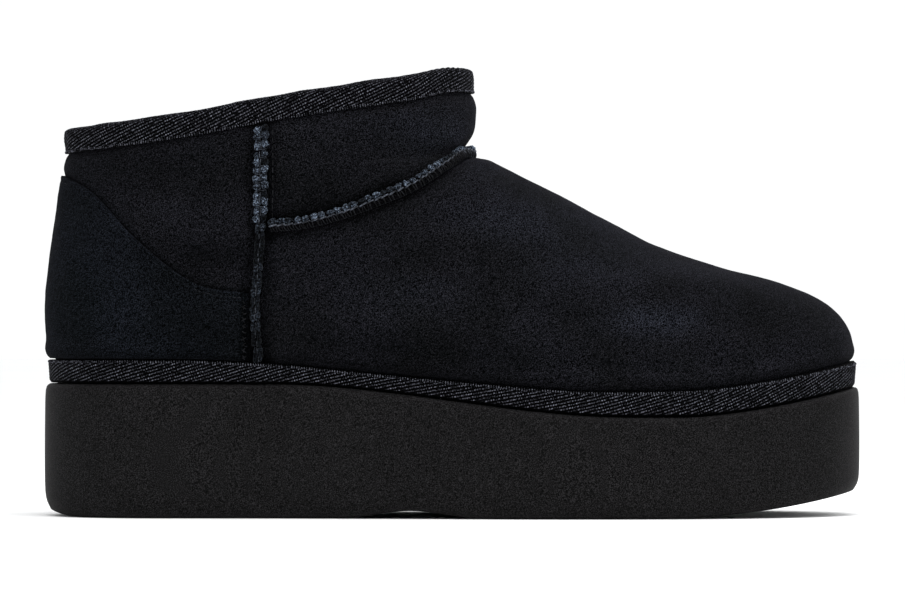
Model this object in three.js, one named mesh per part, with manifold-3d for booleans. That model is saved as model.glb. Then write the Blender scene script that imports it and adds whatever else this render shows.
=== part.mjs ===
// A low sheepskin ankle boot on a thick foam platform: the right boot of a pair.
// All lengths are millimetres. +X points to the toe, +Y to the inner side of the foot, +Z up.
// The boot stands on z = 0, with the origin under the middle of the sole's length and width.

import * as THREE from 'three';
import { mergeVertices } from 'three/addons/utils/BufferGeometryUtils.js';
import Module from 'manifold-3d';

const wasm = await Module();
wasm.setup();

// Platform
const soleLength = 275.5;
const soleBallWidth = 102;
const soleHeelWidth = 76;
const heelHeight = 44.4; // top of the platform under the heel
const ballHeight = 33.5; // top of the platform under the ball of the foot
const topToeRise = 10; // how far the top turns up towards the toe
const toeSpring = 9; // how far the underside lifts off the ground at the toe
const heelBevel = 3; // how far the underside lifts off the ground at the very back
const archLift = 2.5; // how far the waist of the underside clears the ground
const inwardSwing = 6; // how far the toe leans to the inner side
const outerWaistDip = 2.2;
const innerWaistDip = 7;
const ballSkew = 7; // the inner ball joint lies this far ahead of the middle, the outer one behind
const edgeRounding = 2; // how far the platform's lower edge draws in
const treadDepth = 2.5;
const treadGroove = 3;
const treadPitch = 13;
const treadMargin = 7;
const treadSweep = 6; // how far each groove points forward at its middle

// Upper
const wall = 4; // hide with its dense foot of wool
const collarWidth = 78;
const collarBackHeight = 128.8;
const collarFrontHeight = 148.5;
const collarDip = 1.1; // the collar's edge sags by this much behind the side seam
const collarLift = 0.4; // and stands up by this much ahead of it

// Trims
const gap = 0.3; // between pieces that lie on each other
const ledge = 1.7; // the strip of platform that shows outside the sole binding
const soleBindingThickness = 1.6;
const soleBindingHeight = 8.6;
const collarBindingThickness = 1.2;
const collarBindingHeight = 7;
const counterThickness = 1.2;
const seamHeight = 2.6;
const seamGap = 0.55; // a little more than elsewhere, because the seams cross hollows
const sideSeamWidth = 4.6;
const sideSeamFootWidth = 3;
const vampSeamWidth = 4.6;
const insoleThickness = 5;
const insoleClearance = 0.4;
const insoleRounding = 1.2;

const featherInset = ledge + soleBindingThickness + gap;
const footLength = soleLength - 2 * featherInset;

// Where things lie along the sole, as shares of its length
const along = {
  heelCentre: 0.142,
  ballCentre: 0.695,
  seatEnds: 0.28, // the heel seat is level as far as this
  ballFlat: 0.72, // the top is lowest here
  topRiseStarts: 0.78,
  springStarts: 0.74,
  bevelEnds: 0.05,
  archStarts: 0.36,
  archEnds: 0.54,
  swingStarts: 0.3,
};

// Shares of the rise from the feather edge to the collar, where 1 is the collar
const upTo = {
  lastEnds: 0.42, // below it the section follows the platform's top and its waist
  shaftStarts: 0.25, // the width blends from the sole's to the collar's between these two
  shaftEnds: 0.6,
  waveStarts: 0.833, // the collar's dip and lift die out below it
  seamJunction: 0.55, // the vamp seam leaves the side seam here
  junctionBlend: 0.08, // and the side seam widens over this much
};

// Powers of the outline's front end: 2 is an ellipse, and more is squarer
const blunt = { sole: 2.35, collar: 2.15 };

// How finely the forms are cut into faces
const fine = {
  columns: 56, // points around each ring
  ringsPerSection: 2, // rings of the upper for each row of its table
  counterColumns: 30,
  counterRows: 9,
  sideSeamSteps: 26,
  vampSeamSteps: 38,
};
const slopeStep = 1e-3; // of a turn or a rise, for slopes

// Sections of the upper from the feather edge (first) to the collar's edge (last).
// backX and frontX are shares of the foot's length; backUp and frontUp are shares of the height
// from the platform to the collar at that end; heelAt and broadAt are shares of the foot's length;
// heel and broad multiply the half widths that blend from the sole's up to the collar's.
const sectionColumns = ['backX', 'backUp', 'frontX', 'frontUp', 'heelAt', 'heel', 'broadAt', 'broad'];
const sectionRows = [
  [0, 0, 1, 0, 0.142, 1, 0.695, 1],
  [-0.002, 0.09, 1.002, 0.088, 0.142, 1.025, 0.69, 1.022],
  [-0.006, 0.185, 1.001, 0.18, 0.143, 1.07, 0.672, 1.052],
  [-0.0075, 0.28, 0.972, 0.266, 0.146, 1.075, 0.639, 0.99],
  [-0.006, 0.374, 0.912, 0.335, 0.15, 1.04, 0.583, 0.959],
  [-0.0034, 0.457, 0.8327, 0.3873, 0.158, 0.99, 0.4786, 0.984],
  [-0.0007, 0.534, 0.7544, 0.4517, 0.17, 0.955, 0.404, 1.0256],
  [0.0026, 0.611, 0.6836, 0.5407, 0.19, 0.945, 0.348, 1.045],
  [0.006, 0.688, 0.6127, 0.6326, 0.208, 0.955, 0.318, 1.035],
  [0.009, 0.76, 0.5438, 0.7216, 0.223, 0.965, 0.294, 1.025],
  [0.0116, 0.825, 0.5158, 0.7528, 0.234, 0.975, 0.282, 1.015],
  [0.0142, 0.908, 0.527, 0.8545, 0.243, 0.988, 0.275, 1.01],
  [0.0171, 1, 0.5197, 1, 0.25, 0.995, 0.268, 1],
];
const lastRow = sectionRows.length - 1;

// Paths on the upper: x as a share of the foot's length, up as a share of the height from the
// platform to the collar's edge at that x
const counterEdge = [
  [-0.004, 0.855],
  [0.017, 0.82],
  [0.0544, 0.738],
  [0.0984, 0.584],
  [0.1424, 0.457],
  [0.186, 0.366],
  [0.246, 0.325],
];
const [counterFront] = counterEdge[counterEdge.length - 1];
const vampSeamPath = [
  [0.275, 0.557],
  [0.3175, 0.56],
  [0.3615, 0.582],
  [0.4055, 0.619],
  [0.449, 0.66],
  [0.49, 0.712],
  [0.5166, 0.752],
];
// Here up comes first and x second, because this seam runs upwards
const sideSeamPath = [
  [0.08, 0.2594],
  [0.28, 0.2564],
  [0.49, 0.2617],
  [0.62, 0.263],
  [0.95, 0.264],
];

// How much of the sole binding stands clear of the suede that bulges over it
const bindingShow = [
  [0, 0.9],
  [0.2, 0.9],
  [0.38, 0.65],
  [0.58, 0.85],
  [0.8, 1],
  [1, 1],
];

// Side of the platform: share of its height, inset from the outline as a share of edgeRounding
const platformProfile = [
  [0, 1],
  [0.05, 0.4],
  [0.12, 0.1],
  [0.35, 0],
  [0.75, 0.05],
  [0.93, 0.15],
  [0.985, 0.45],
  [1, 0.95],
];

// Colours, roughness and metalness
const finishes = {
  foam: [0x1e1d1f, 0.85, 0],
  suede: [0x19191d, 0.95, 0],
  counterSuede: [0x121215, 0.9, 0],
  tape: [0x232327, 0.9, 0],
  thread: [0x23262b, 0.6, 0],
  wool: [0x1d1d20, 1, 0],
};

const { lerp, clamp } = THREE.MathUtils;

function smooth(value) {
  const t = clamp(value, 0, 1);
  return t * t * (3 - 2 * t);
}

// A cubic from a to b with the slopes that its neighbours give
function cubic(before, a, b, after, t) {
  const slopeA = (b - before) / 2;
  const slopeB = (after - a) / 2;
  const t2 = t * t;
  const t3 = t2 * t;
  return (2 * t3 - 3 * t2 + 1) * a + (t3 - 2 * t2 + t) * slopeA
    + (3 * t2 - 2 * t3) * b + (t3 - t2) * slopeB;
}

// A smooth curve through a table of [position, value] rows, straight beyond its ends
function readTable(rows, position) {
  const slope = (i, j) => (rows[j][1] - rows[i][1]) / (rows[j][0] - rows[i][0]);
  const last = rows.length - 1;
  if (position <= rows[0][0]) {
    return rows[0][1] + slope(0, 1) * (position - rows[0][0]);
  }
  if (position >= rows[last][0]) {
    return rows[last][1] + slope(last - 1, last) * (position - rows[last][0]);
  }
  const i = rows.findIndex((row) => row[0] > position) - 1;
  const span = rows[i + 1][0] - rows[i][0];
  const t = (position - rows[i][0]) / span;
  const slopeA = i > 0 ? slope(i - 1, i + 1) : slope(i, i + 1);
  const slopeB = i + 1 < last ? slope(i, i + 2) : slope(i, i + 1);
  const t2 = t * t;
  const t3 = t2 * t;
  return (2 * t3 - 3 * t2 + 1) * rows[i][1] + (t3 - 2 * t2 + t) * slopeA * span
    + (3 * t2 - 2 * t3) * rows[i + 1][1] + (t3 - t2) * slopeB * span;
}

// Finds where a rising function passes zero
function solve(rising, low, high) {
  let [a, b] = [low, high];
  for (let step = 0; step < 40; step += 1) {
    const middle = (a + b) / 2;
    if (rising(middle) < 0) a = middle;
    else b = middle;
  }
  return (a + b) / 2;
}

// Lengthwise curves of the platform and the last
function seatHeight(x) {
  const share = x / soleLength;
  const fall = smooth((share - along.seatEnds) / (along.ballFlat - along.seatEnds));
  const rise = Math.max(0, (share - along.topRiseStarts) / (1 - along.topRiseStarts));
  return heelHeight - (heelHeight - ballHeight) * fall + topToeRise * rise ** 1.5;
}

function underside(x) {
  const share = x / soleLength;
  const spring = Math.max(0, (share - along.springStarts) / (1 - along.springStarts));
  const bevel = Math.max(0, 1 - share / along.bevelEnds);
  const archShare = clamp((share - along.archStarts) / (along.archEnds - along.archStarts), 0, 1);
  return toeSpring * spring ** 2 + heelBevel * bevel ** 2 + archLift * Math.sin(Math.PI * archShare) ** 2;
}

function centreLine(x) {
  const past = Math.max(0, x / soleLength - along.swingStarts) / (1 - along.swingStarts);
  return inwardSwing * past * past;
}

function halfWidth(form, x, inner) {
  if (x <= form.heelX) {
    const t = (form.heelX - x) / (form.heelX - form.backX);
    return form.heelHalf * Math.sqrt(Math.max(0, 1 - t * t));
  }
  const broadX = form.broadX + (inner ? 1 : -1) * form.skew;
  if (x < broadX) {
    const t = (x - form.heelX) / (broadX - form.heelX);
    const dip = (inner ? form.innerDip : form.outerDip) * Math.sin(Math.PI * t) ** 2;
    return lerp(form.heelHalf, form.broadHalf, smooth(t)) - dip;
  }
  const t = (x - broadX) / (form.frontX - broadX);
  return form.broadHalf * Math.max(0, 1 - t ** form.blunt) ** (1 / form.blunt);
}

// One point of a ring. turn runs from 0 at the back, along the outer side to 0.5 at the front,
// and back along the inner side to 1.
function ringPlan(form, turn) {
  const share = (1 - Math.cos(2 * Math.PI * turn)) / 2;
  const x = lerp(form.backX, form.frontX, share);
  const inner = turn - Math.floor(turn) > 0.5;
  const y = centreLine(x) + (inner ? 1 : -1) * halfWidth(form, x, inner);
  return { x, y, share };
}

// The platform's outline, moved inwards by inset
function soleForm(inset) {
  const length = soleLength - 2 * inset;
  return {
    backX: inset,
    frontX: inset + length,
    heelX: inset + along.heelCentre * length,
    heelHalf: soleHeelWidth / 2 - inset,
    broadX: inset + along.ballCentre * length,
    broadHalf: soleBallWidth / 2 - inset,
    outerDip: outerWaistDip,
    innerDip: innerWaistDip,
    skew: ballSkew,
    blunt: blunt.sole,
  };
}

function soleRing(inset, heightAt) {
  const form = soleForm(inset);
  return Array.from({ length: fine.columns }, (_, i) => {
    const { x, y } = ringPlan(form, i / fine.columns);
    return new THREE.Vector3(x, y, heightAt(x));
  });
}

// The upper's section at a rise from 0, the feather edge, to 1, the collar's edge
function upperForm(rise) {
  const position = clamp(rise, 0, 1) * lastRow;
  const start = Math.min(Math.floor(position), lastRow - 1);
  const row = (index) => sectionRows[clamp(index, 0, lastRow)];
  const value = {};
  sectionColumns.forEach((name, column) => {
    const [before, a, b, after] = [-1, 0, 1, 2].map((offset) => row(start + offset)[column]);
    value[name] = cubic(before, a, b, after, position - start);
  });
  const footX = (share) => featherInset + share * footLength;
  const shaft = smooth((rise - upTo.shaftStarts) / (upTo.shaftEnds - upTo.shaftStarts));
  const low = 1 - smooth(rise / upTo.lastEnds);
  const backFoot = seatHeight(featherInset) + gap;
  const frontFoot = seatHeight(featherInset + footLength) + gap;
  return {
    backX: footX(value.backX),
    frontX: footX(value.frontX),
    backZ: lerp(backFoot, collarBackHeight, value.backUp),
    frontZ: lerp(frontFoot, collarFrontHeight, value.frontUp),
    heelX: footX(value.heelAt),
    heelHalf: lerp(soleHeelWidth / 2 - featherInset, collarWidth / 2, shaft) * value.heel,
    broadX: footX(value.broadAt),
    broadHalf: lerp(soleBallWidth / 2 - featherInset, collarWidth / 2, shaft) * value.broad,
    outerDip: outerWaistDip * low,
    innerDip: innerWaistDip * low,
    skew: ballSkew * (1 - shaft),
    blunt: lerp(blunt.sole, blunt.collar, shaft),
    follow: low,
    wave: smooth((rise - upTo.waveStarts) / (1 - upTo.waveStarts)),
  };
}

// How far the collar's edge lies above the straight line between its ends
function collarWave(share) {
  const swing = -Math.sin(2 * Math.PI * share);
  return swing * (swing < 0 ? collarDip : collarLift);
}

// Outside of the upper
function surfacePoint(turn, rise) {
  const form = upperForm(rise);
  const { x, y, share } = ringPlan(form, turn);
  const chord = lerp(seatHeight(form.backX), seatHeight(form.frontX), share);
  const z = lerp(form.backZ, form.frontZ, share) + form.follow * (seatHeight(x) - chord)
    + form.wave * collarWave(share);
  return new THREE.Vector3(x, y, z);
}

function surfaceSlopes(turn, rise) {
  const high = Math.min(1, rise + slopeStep);
  const low = Math.max(0, rise - slopeStep);
  const aroundSlope = surfacePoint(turn + slopeStep, rise).sub(surfacePoint(turn - slopeStep, rise));
  const upSlope = surfacePoint(turn, high).sub(surfacePoint(turn, low));
  return [aroundSlope.divideScalar(2 * slopeStep), upSlope.divideScalar(high - low)];
}

function surfaceNormal(turn, rise) {
  const [aroundSlope, upSlope] = surfaceSlopes(turn, rise);
  return aroundSlope.cross(upSlope).normalize();
}

// A point that lies off the outside of the upper, outwards where off is positive
function offsetPoint(turn, rise, off) {
  return surfacePoint(turn, rise).addScaledVector(surfaceNormal(turn, rise), off);
}

// Height of the collar's edge above a place on the foot
function collarLine(x) {
  const form = upperForm(1);
  const share = (x - form.backX) / (form.frontX - form.backX);
  return lerp(form.backZ, form.frontZ, share) + form.wave * collarWave(share);
}

function levelAt(x, up) {
  return lerp(seatHeight(x), collarLine(x), up);
}

function footShare(x) {
  return (x - featherInset) / footLength;
}

// The rise at which the upper passes a given height, at one turn
function riseAtHeight(turn, height) {
  return solve((rise) => surfacePoint(turn, rise).z - height, 0, 1);
}

// Geometry from a grid of rings
function ringFaces(indices, ringA, ringB, count) {
  for (let i = 0; i < count; i += 1) {
    const next = (i + 1) % count;
    const [a, b, c, d] = [ringA + i, ringA + next, ringB + next, ringB + i];
    indices.push(a, b, c, a, c, d);
  }
}

function makeGeometry(points, indices) {
  const geometry = new THREE.BufferGeometry();
  const positions = points.flatMap((point) => [point.x, point.y, point.z]);
  geometry.setAttribute('position', new THREE.Float32BufferAttribute(positions, 3));
  geometry.setIndex(indices);
  geometry.computeVertexNormals();
  return geometry;
}

// Rings that close on themselves both ways: up the outside and down the inside
function hollowGeometry(rings) {
  const count = rings[0].length;
  const indices = [];
  rings.forEach((_, j) => {
    ringFaces(indices, j * count, ((j + 1) % rings.length) * count, count);
  });
  return makeGeometry(rings.flat(), indices);
}

// Rings stacked upwards and closed by strips across the bottom and the top
function stackGeometry(rings) {
  const count = rings[0].length;
  const indices = [];
  for (let j = 0; j + 1 < rings.length; j += 1) {
    ringFaces(indices, j * count, (j + 1) * count, count);
  }
  const top = (rings.length - 1) * count;
  const half = count / 2;
  for (let i = 0; i < half; i += 1) {
    const [near, nearNext] = [i, i + 1];
    const [far, farNext] = [(count - i) % count, count - i - 1];
    if (i < half - 1) {
      indices.push(top + near, top + nearNext, top + farNext);
      indices.push(near, farNext, nearNext);
    }
    if (i > 0) {
      indices.push(top + near, top + farNext, top + far);
      indices.push(near, far, farNext);
    }
  }
  return makeGeometry(rings.flat(), indices);
}

// A sheet with an outer and an inner grid of the same size, closed around its edge
function sheetGeometry(outerGrid, innerGrid) {
  const rows = outerGrid.length;
  const across = outerGrid[0].length;
  const inside = rows * across;
  const at = (j, i) => j * across + i;
  const indices = [];
  for (let j = 0; j + 1 < rows; j += 1) {
    for (let i = 0; i + 1 < across; i += 1) {
      const [a, b, c, d] = [at(j, i), at(j, i + 1), at(j + 1, i + 1), at(j + 1, i)];
      indices.push(a, b, c, a, c, d);
      indices.push(inside + a, inside + c, inside + b, inside + a, inside + d, inside + c);
    }
  }
  const border = [];
  for (let i = 0; i < across - 1; i += 1) border.push(at(0, i));
  for (let j = 0; j < rows - 1; j += 1) border.push(at(j, across - 1));
  for (let i = across - 1; i > 0; i -= 1) border.push(at(rows - 1, i));
  for (let j = rows - 1; j > 0; j -= 1) border.push(at(j, 0));
  border.forEach((a, k) => {
    const b = border[(k + 1) % border.length];
    indices.push(a, inside + a, inside + b, a, inside + b, b);
  });
  return makeGeometry([...outerGrid.flat(), ...innerGrid.flat()], indices);
}

// Sections swept along a path and closed by a fan at each end
function sweptGeometry(sections) {
  const count = sections[0].length;
  const indices = [];
  for (let j = 0; j + 1 < sections.length; j += 1) {
    ringFaces(indices, j * count, (j + 1) * count, count);
  }
  const end = (sections.length - 1) * count;
  for (let i = 1; i + 1 < count; i += 1) {
    indices.push(0, i + 1, i);
    indices.push(end, end + i, end + i + 1);
  }
  return makeGeometry(sections.flat(), indices);
}

// Solids for cutting
function toSolid(geometry) {
  const bare = new THREE.BufferGeometry();
  bare.setAttribute('position', geometry.getAttribute('position'));
  bare.setIndex(geometry.getIndex());
  const merged = mergeVertices(bare);
  return new wasm.Manifold(new wasm.Mesh({
    numProp: 3,
    vertProperties: new Float32Array(merged.getAttribute('position').array),
    triVerts: new Uint32Array(merged.getIndex().array),
  }));
}

function fromSolid(solid) {
  const mesh = solid.getMesh();
  const geometry = new THREE.BufferGeometry();
  geometry.setAttribute('position', new THREE.Float32BufferAttribute(mesh.vertProperties, 3));
  geometry.setIndex([...mesh.triVerts]);
  geometry.computeVertexNormals();
  return geometry;
}

// One tread groove across the sole, bent forward at its middle
function grooveGeometry(x) {
  const reach = soleBallWidth;
  const shape = new THREE.Shape([
    new THREE.Vector2(x, -reach / 2),
    new THREE.Vector2(x + treadGroove, -reach / 2),
    new THREE.Vector2(x + treadGroove + treadSweep, 0),
    new THREE.Vector2(x + treadGroove, reach / 2),
    new THREE.Vector2(x, reach / 2),
    new THREE.Vector2(x + treadSweep, 0),
  ]);
  const depth = heelHeight;
  const geometry = new THREE.ExtrudeGeometry(shape, { depth, bevelEnabled: false });
  return geometry.translate(0, 0, -depth / 2);
}

function soleGeometry() {
  const rings = platformProfile.map(([share, inset]) => (
    soleRing(inset * edgeRounding, (x) => lerp(underside(x), seatHeight(x), share))
  ));
  const treadBand = stackGeometry([
    soleRing(treadMargin, (x) => underside(x) - treadDepth),
    soleRing(treadMargin, (x) => underside(x) + treadDepth),
  ]);
  const zones = [
    [treadMargin + treadPitch / 2, along.archStarts * soleLength - treadSweep],
    [along.archEnds * soleLength, soleLength - treadMargin - treadPitch - treadSweep],
  ];
  let grooves = null;
  zones.forEach(([start, end]) => {
    for (let x = start; x < end; x += treadPitch) {
      const groove = toSolid(grooveGeometry(x));
      grooves = grooves ? grooves.add(groove) : groove;
    }
  });
  const cutters = toSolid(treadBand).intersect(grooves);
  return fromSolid(toSolid(stackGeometry(rings)).subtract(cutters));
}

function insoleGeometry() {
  const inset = featherInset + wall + insoleClearance;
  const levels = [
    [0, 0],
    [insoleThickness - insoleRounding, 0],
    [insoleThickness, insoleRounding],
  ];
  return stackGeometry(levels.map(([level, rounding]) => (
    soleRing(inset + rounding, (x) => seatHeight(x) + gap + level)
  )));
}

function upperGeometry() {
  const count = lastRow * fine.ringsPerSection;
  const rises = Array.from({ length: count + 1 }, (_, j) => j / count);
  const ring = (rise, off) => Array.from({ length: fine.columns }, (_, i) => (
    offsetPoint(i / fine.columns, rise, off)
  ));
  const outside = rises.map((rise) => ring(rise, 0));
  const inside = rises.map((rise) => ring(rise, -wall));
  inside[0].forEach((point) => {
    point.z = seatHeight(point.x) + gap;
  });
  inside[count].forEach((point, i) => {
    point.z = outside[count][i].z;
  });
  return hollowGeometry([...outside, ...inside.reverse()]);
}

// Section of the collar's tape: up the outside, over the edge and down the inside, then back
// along the faces that lie on the wall
function collarBindingGeometry() {
  const outer = gap + collarBindingThickness;
  const sections = Array.from({ length: fine.columns }, (_, i) => {
    const turn = i / fine.columns;
    const edge = surfacePoint(turn, 1).z;
    const low = riseAtHeight(turn, edge - collarBindingHeight);
    const middle = riseAtHeight(turn, edge - collarBindingHeight / 2);
    const raised = (off, lift) => {
      const point = offsetPoint(turn, 1, off);
      point.z = edge + lift;
      return point;
    };
    return [
      offsetPoint(turn, low, outer),
      offsetPoint(turn, middle, outer),
      raised(outer, 0),
      raised(0, outer),
      raised(-wall, outer),
      raised(-wall - outer, 0),
      offsetPoint(turn, middle, -wall - outer),
      offsetPoint(turn, low, -wall - outer),
      offsetPoint(turn, low, -wall - gap),
      offsetPoint(turn, middle, -wall - gap),
      raised(-wall - gap, gap),
      raised(gap, gap),
      offsetPoint(turn, middle, gap),
      offsetPoint(turn, low, gap),
    ];
  });
  const rings = sections[0].map((_, k) => sections.map((section) => section[k]));
  return hollowGeometry(rings);
}

function bindingLevel(x, level) {
  return seatHeight(x) + gap + level * soleBindingHeight * readTable(bindingShow, x / soleLength);
}

function bindingTop(turn) {
  return bindingLevel(surfacePoint(turn, 0).x, 1);
}

function soleBindingGeometry() {
  const outer = gap + soleBindingThickness;
  const levels = [0, 0.5, 1];
  const ring = (level, off) => Array.from({ length: fine.columns }, (_, i) => {
    const turn = i / fine.columns;
    const height = bindingLevel(surfacePoint(turn, 0).x, level);
    const point = offsetPoint(turn, riseAtHeight(turn, height), off);
    point.z = bindingLevel(point.x, level);
    return point;
  });
  const outside = levels.map((level) => ring(level, outer));
  const inside = levels.map((level) => ring(level, gap));
  return hollowGeometry([...outside, ...inside.reverse()]);
}

// The heel counter wraps the back from one side seam to the other
function counterGeometry() {
  const { counterColumns: across, counterRows: rows } = fine;
  const frontX = featherInset + counterFront * footLength;
  const edgeTurn = (rise, inner) => {
    const turn = solve((t) => surfacePoint(inner ? 1 - t : t, rise).x - frontX, 0, 0.5);
    return inner ? -turn : turn;
  };
  const place = (share, rise) => {
    const turn = Math.abs(share) * edgeTurn(rise, share < 0);
    return (turn + 1) % 1;
  };
  const bounds = (share) => {
    const above = (rise) => {
      const turn = place(share, rise);
      return surfacePoint(turn, rise).z - bindingTop(turn) - 2 * gap;
    };
    const below = (rise) => {
      const point = surfacePoint(place(share, rise), rise);
      return point.z - levelAt(point.x, readTable(counterEdge, footShare(point.x)));
    };
    return [solve(above, 0, 1), solve(below, 0, 1)];
  };
  const grid = (off) => {
    const lines = [];
    for (let i = 0; i <= across; i += 1) {
      const share = (2 * i) / across - 1;
      const [low, high] = bounds(share);
      lines.push(Array.from({ length: rows + 1 }, (_, j) => {
        const rise = lerp(low, high, j / rows);
        return offsetPoint(place(share, rise), rise, off);
      }));
    }
    return lines[0].map((_, j) => lines.map((line) => line[j]));
  };
  return sheetGeometry(grid(gap + counterThickness), grid(gap));
}

// Half of a seam's section: share of the half width, share of the height
const seamSection = [
  [-1, 0],
  [-0.92, 0.55],
  [-0.45, 0.95],
  [0.45, 0.95],
  [0.92, 0.55],
  [1, 0],
];

// Moves from a place on the surface by a distance square to the path
function stepAcross(place, direction, distance) {
  const [aroundSlope, upSlope] = surfaceSlopes(place.turn, place.rise);
  const normal = aroundSlope.clone().cross(upSlope).normalize();
  const across = direction.clone().cross(normal).normalize().multiplyScalar(distance);
  const aa = aroundSlope.dot(aroundSlope);
  const au = aroundSlope.dot(upSlope);
  const uu = upSlope.dot(upSlope);
  const [ra, ru] = [across.dot(aroundSlope), across.dot(upSlope)];
  const size = aa * uu - au * au;
  return {
    turn: place.turn + (ra * uu - ru * au) / size,
    rise: place.rise + (ru * aa - ra * au) / size,
  };
}

// A raised seam that stands on the upper along a path of places
function seamGeometry(path, widthAt) {
  const centres = path.map(({ turn, rise }) => surfacePoint(turn, rise));
  const sections = path.map((place, k) => {
    const before = centres[Math.max(0, k - 1)];
    const after = centres[Math.min(path.length - 1, k + 1)];
    const direction = after.clone().sub(before).normalize();
    const half = widthAt(k / (path.length - 1)) / 2;
    return seamSection.map(([side, lift]) => {
      const { turn, rise } = stepAcross(place, direction, side * half);
      return offsetPoint(turn, rise, seamGap + lift * seamHeight);
    });
  });
  return sweptGeometry(sections);
}

// The side seam runs from the sole's tape up to the collar's tape
function sideSeamGeometry(inner) {
  const steps = fine.sideSeamSteps;
  const turnAt = (rise) => {
    const error = (t) => {
      const point = surfacePoint(inner ? 1 - t : t, rise);
      const up = (point.z - seatHeight(point.x)) / (collarLine(point.x) - seatHeight(point.x));
      return point.x - featherInset - readTable(sideSeamPath, up) * footLength;
    };
    const turn = solve(error, 0, 0.5);
    return inner ? 1 - turn : turn;
  };
  const low = solve((rise) => {
    const turn = turnAt(rise);
    return surfacePoint(turn, rise).z - bindingTop(turn) - 2 * gap;
  }, 0, 1);
  const high = solve((rise) => {
    const turn = turnAt(rise);
    return surfacePoint(turn, rise).z - surfacePoint(turn, 1).z + collarBindingHeight + 2 * gap;
  }, 0, 1);
  const path = Array.from({ length: steps + 1 }, (_, k) => {
    const rise = lerp(low, high, k / steps);
    return { turn: turnAt(rise), rise };
  });
  const widthAt = (share) => (
    lerp(
      sideSeamFootWidth,
      sideSeamWidth,
      smooth((lerp(low, high, share) - upTo.seamJunction) / upTo.junctionBlend),
    )
  );
  return seamGeometry(path, widthAt);
}

// The vamp seam runs over the instep from one side seam to the other
function vampSeamGeometry() {
  const steps = fine.vampSeamSteps;
  const junctionX = featherInset + readTable(sideSeamPath, upTo.seamJunction) * footLength;
  const startX = junctionX + sideSeamWidth / 2 + 2 * gap;
  const riseAt = (turn) => solve((rise) => {
    const point = surfacePoint(turn, rise);
    return point.z - levelAt(point.x, readTable(vampSeamPath, footShare(point.x)));
  }, 0, 1);
  const startTurn = (inner) => solve((t) => {
    const turn = inner ? 1 - t : t;
    return surfacePoint(turn, riseAt(turn)).x - startX;
  }, 0, 0.5);
  const from = startTurn(false);
  const to = 1 - startTurn(true);
  const path = Array.from({ length: steps + 1 }, (_, k) => {
    const turn = lerp(from, to, k / steps);
    return { turn, rise: riseAt(turn) };
  });
  return seamGeometry(path, () => vampSeamWidth);
}

function makeMesh(name, geometry, finish) {
  const [color, roughness, metalness] = finish;
  const mesh = new THREE.Mesh(geometry, new THREE.MeshStandardMaterial({ color, roughness, metalness }));
  mesh.name = name;
  return mesh;
}

const boot = new THREE.Group();
boot.name = 'sheepskin_ankle_boot';
boot.add(
  makeMesh('sole', soleGeometry(), finishes.foam),
  makeMesh('insole', insoleGeometry(), finishes.wool),
  makeMesh('upper', upperGeometry(), finishes.suede),
  makeMesh('heel_counter', counterGeometry(), finishes.counterSuede),
  makeMesh('collar_binding', collarBindingGeometry(), finishes.tape),
  makeMesh('sole_binding', soleBindingGeometry(), finishes.tape),
  makeMesh('side_seam_outer', sideSeamGeometry(false), finishes.thread),
  makeMesh('side_seam_inner', sideSeamGeometry(true), finishes.thread),
  makeMesh('vamp_seam', vampSeamGeometry(), finishes.thread),
);

// The modelling above starts at the heel's end; the origin goes under the sole's middle
const outline = soleRing(0, () => 0).map((point) => point.y);
boot.position.set(-soleLength / 2, -(Math.min(...outline) + Math.max(...outline)) / 2, 0);

export default boot;
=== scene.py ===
# A low sheepskin ankle boot on a foam platform, dressed over its solids.
# Shapes are worked out in millimetres, in a frame that starts at the back of the sole, and are
# then moved to the frame's origin and turned into metres.

import bpy
import numpy as np
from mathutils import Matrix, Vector


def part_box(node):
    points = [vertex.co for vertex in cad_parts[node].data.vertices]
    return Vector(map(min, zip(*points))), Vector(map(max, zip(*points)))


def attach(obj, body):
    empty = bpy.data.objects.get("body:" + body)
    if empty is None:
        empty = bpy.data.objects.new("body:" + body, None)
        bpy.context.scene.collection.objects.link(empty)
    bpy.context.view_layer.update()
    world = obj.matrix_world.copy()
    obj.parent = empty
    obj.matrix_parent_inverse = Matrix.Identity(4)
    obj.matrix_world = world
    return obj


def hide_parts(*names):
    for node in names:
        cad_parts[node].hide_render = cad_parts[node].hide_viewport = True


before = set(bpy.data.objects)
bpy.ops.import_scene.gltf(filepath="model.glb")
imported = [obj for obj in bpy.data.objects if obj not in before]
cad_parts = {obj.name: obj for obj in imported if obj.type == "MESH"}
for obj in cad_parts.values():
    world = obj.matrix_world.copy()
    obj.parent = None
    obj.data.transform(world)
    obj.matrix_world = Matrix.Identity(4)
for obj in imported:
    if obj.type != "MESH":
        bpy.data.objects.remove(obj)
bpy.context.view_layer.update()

MM = 0.001

# Platform, from the frame where its box gives the size
SOLE_LOW, SOLE_HIGH = [np.array(corner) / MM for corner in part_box("sole")]
SOLE_LENGTH = SOLE_HIGH[0] - SOLE_LOW[0]
BALL_WIDTH = 102.0
HEEL_WIDTH = 76.0
HEEL_HEIGHT = SOLE_HIGH[2]
BALL_HEIGHT = 33.5
TOP_TOE_RISE = 10.0
TOE_SPRING = 9.0
HEEL_BEVEL = 3.0
ARCH_LIFT = 2.5
INWARD_SWING = 6.0
OUTER_WAIST_DIP = 2.2
INNER_WAIST_DIP = 7.0
BALL_SKEW = 7.0
EDGE_ROUNDING = 2.0
TREAD_DEPTH = 2.5
TREAD_GROOVE = 3.0
TREAD_PITCH = 13.0
TREAD_MARGIN = 7.0
TREAD_SWEEP = 6.0

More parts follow.
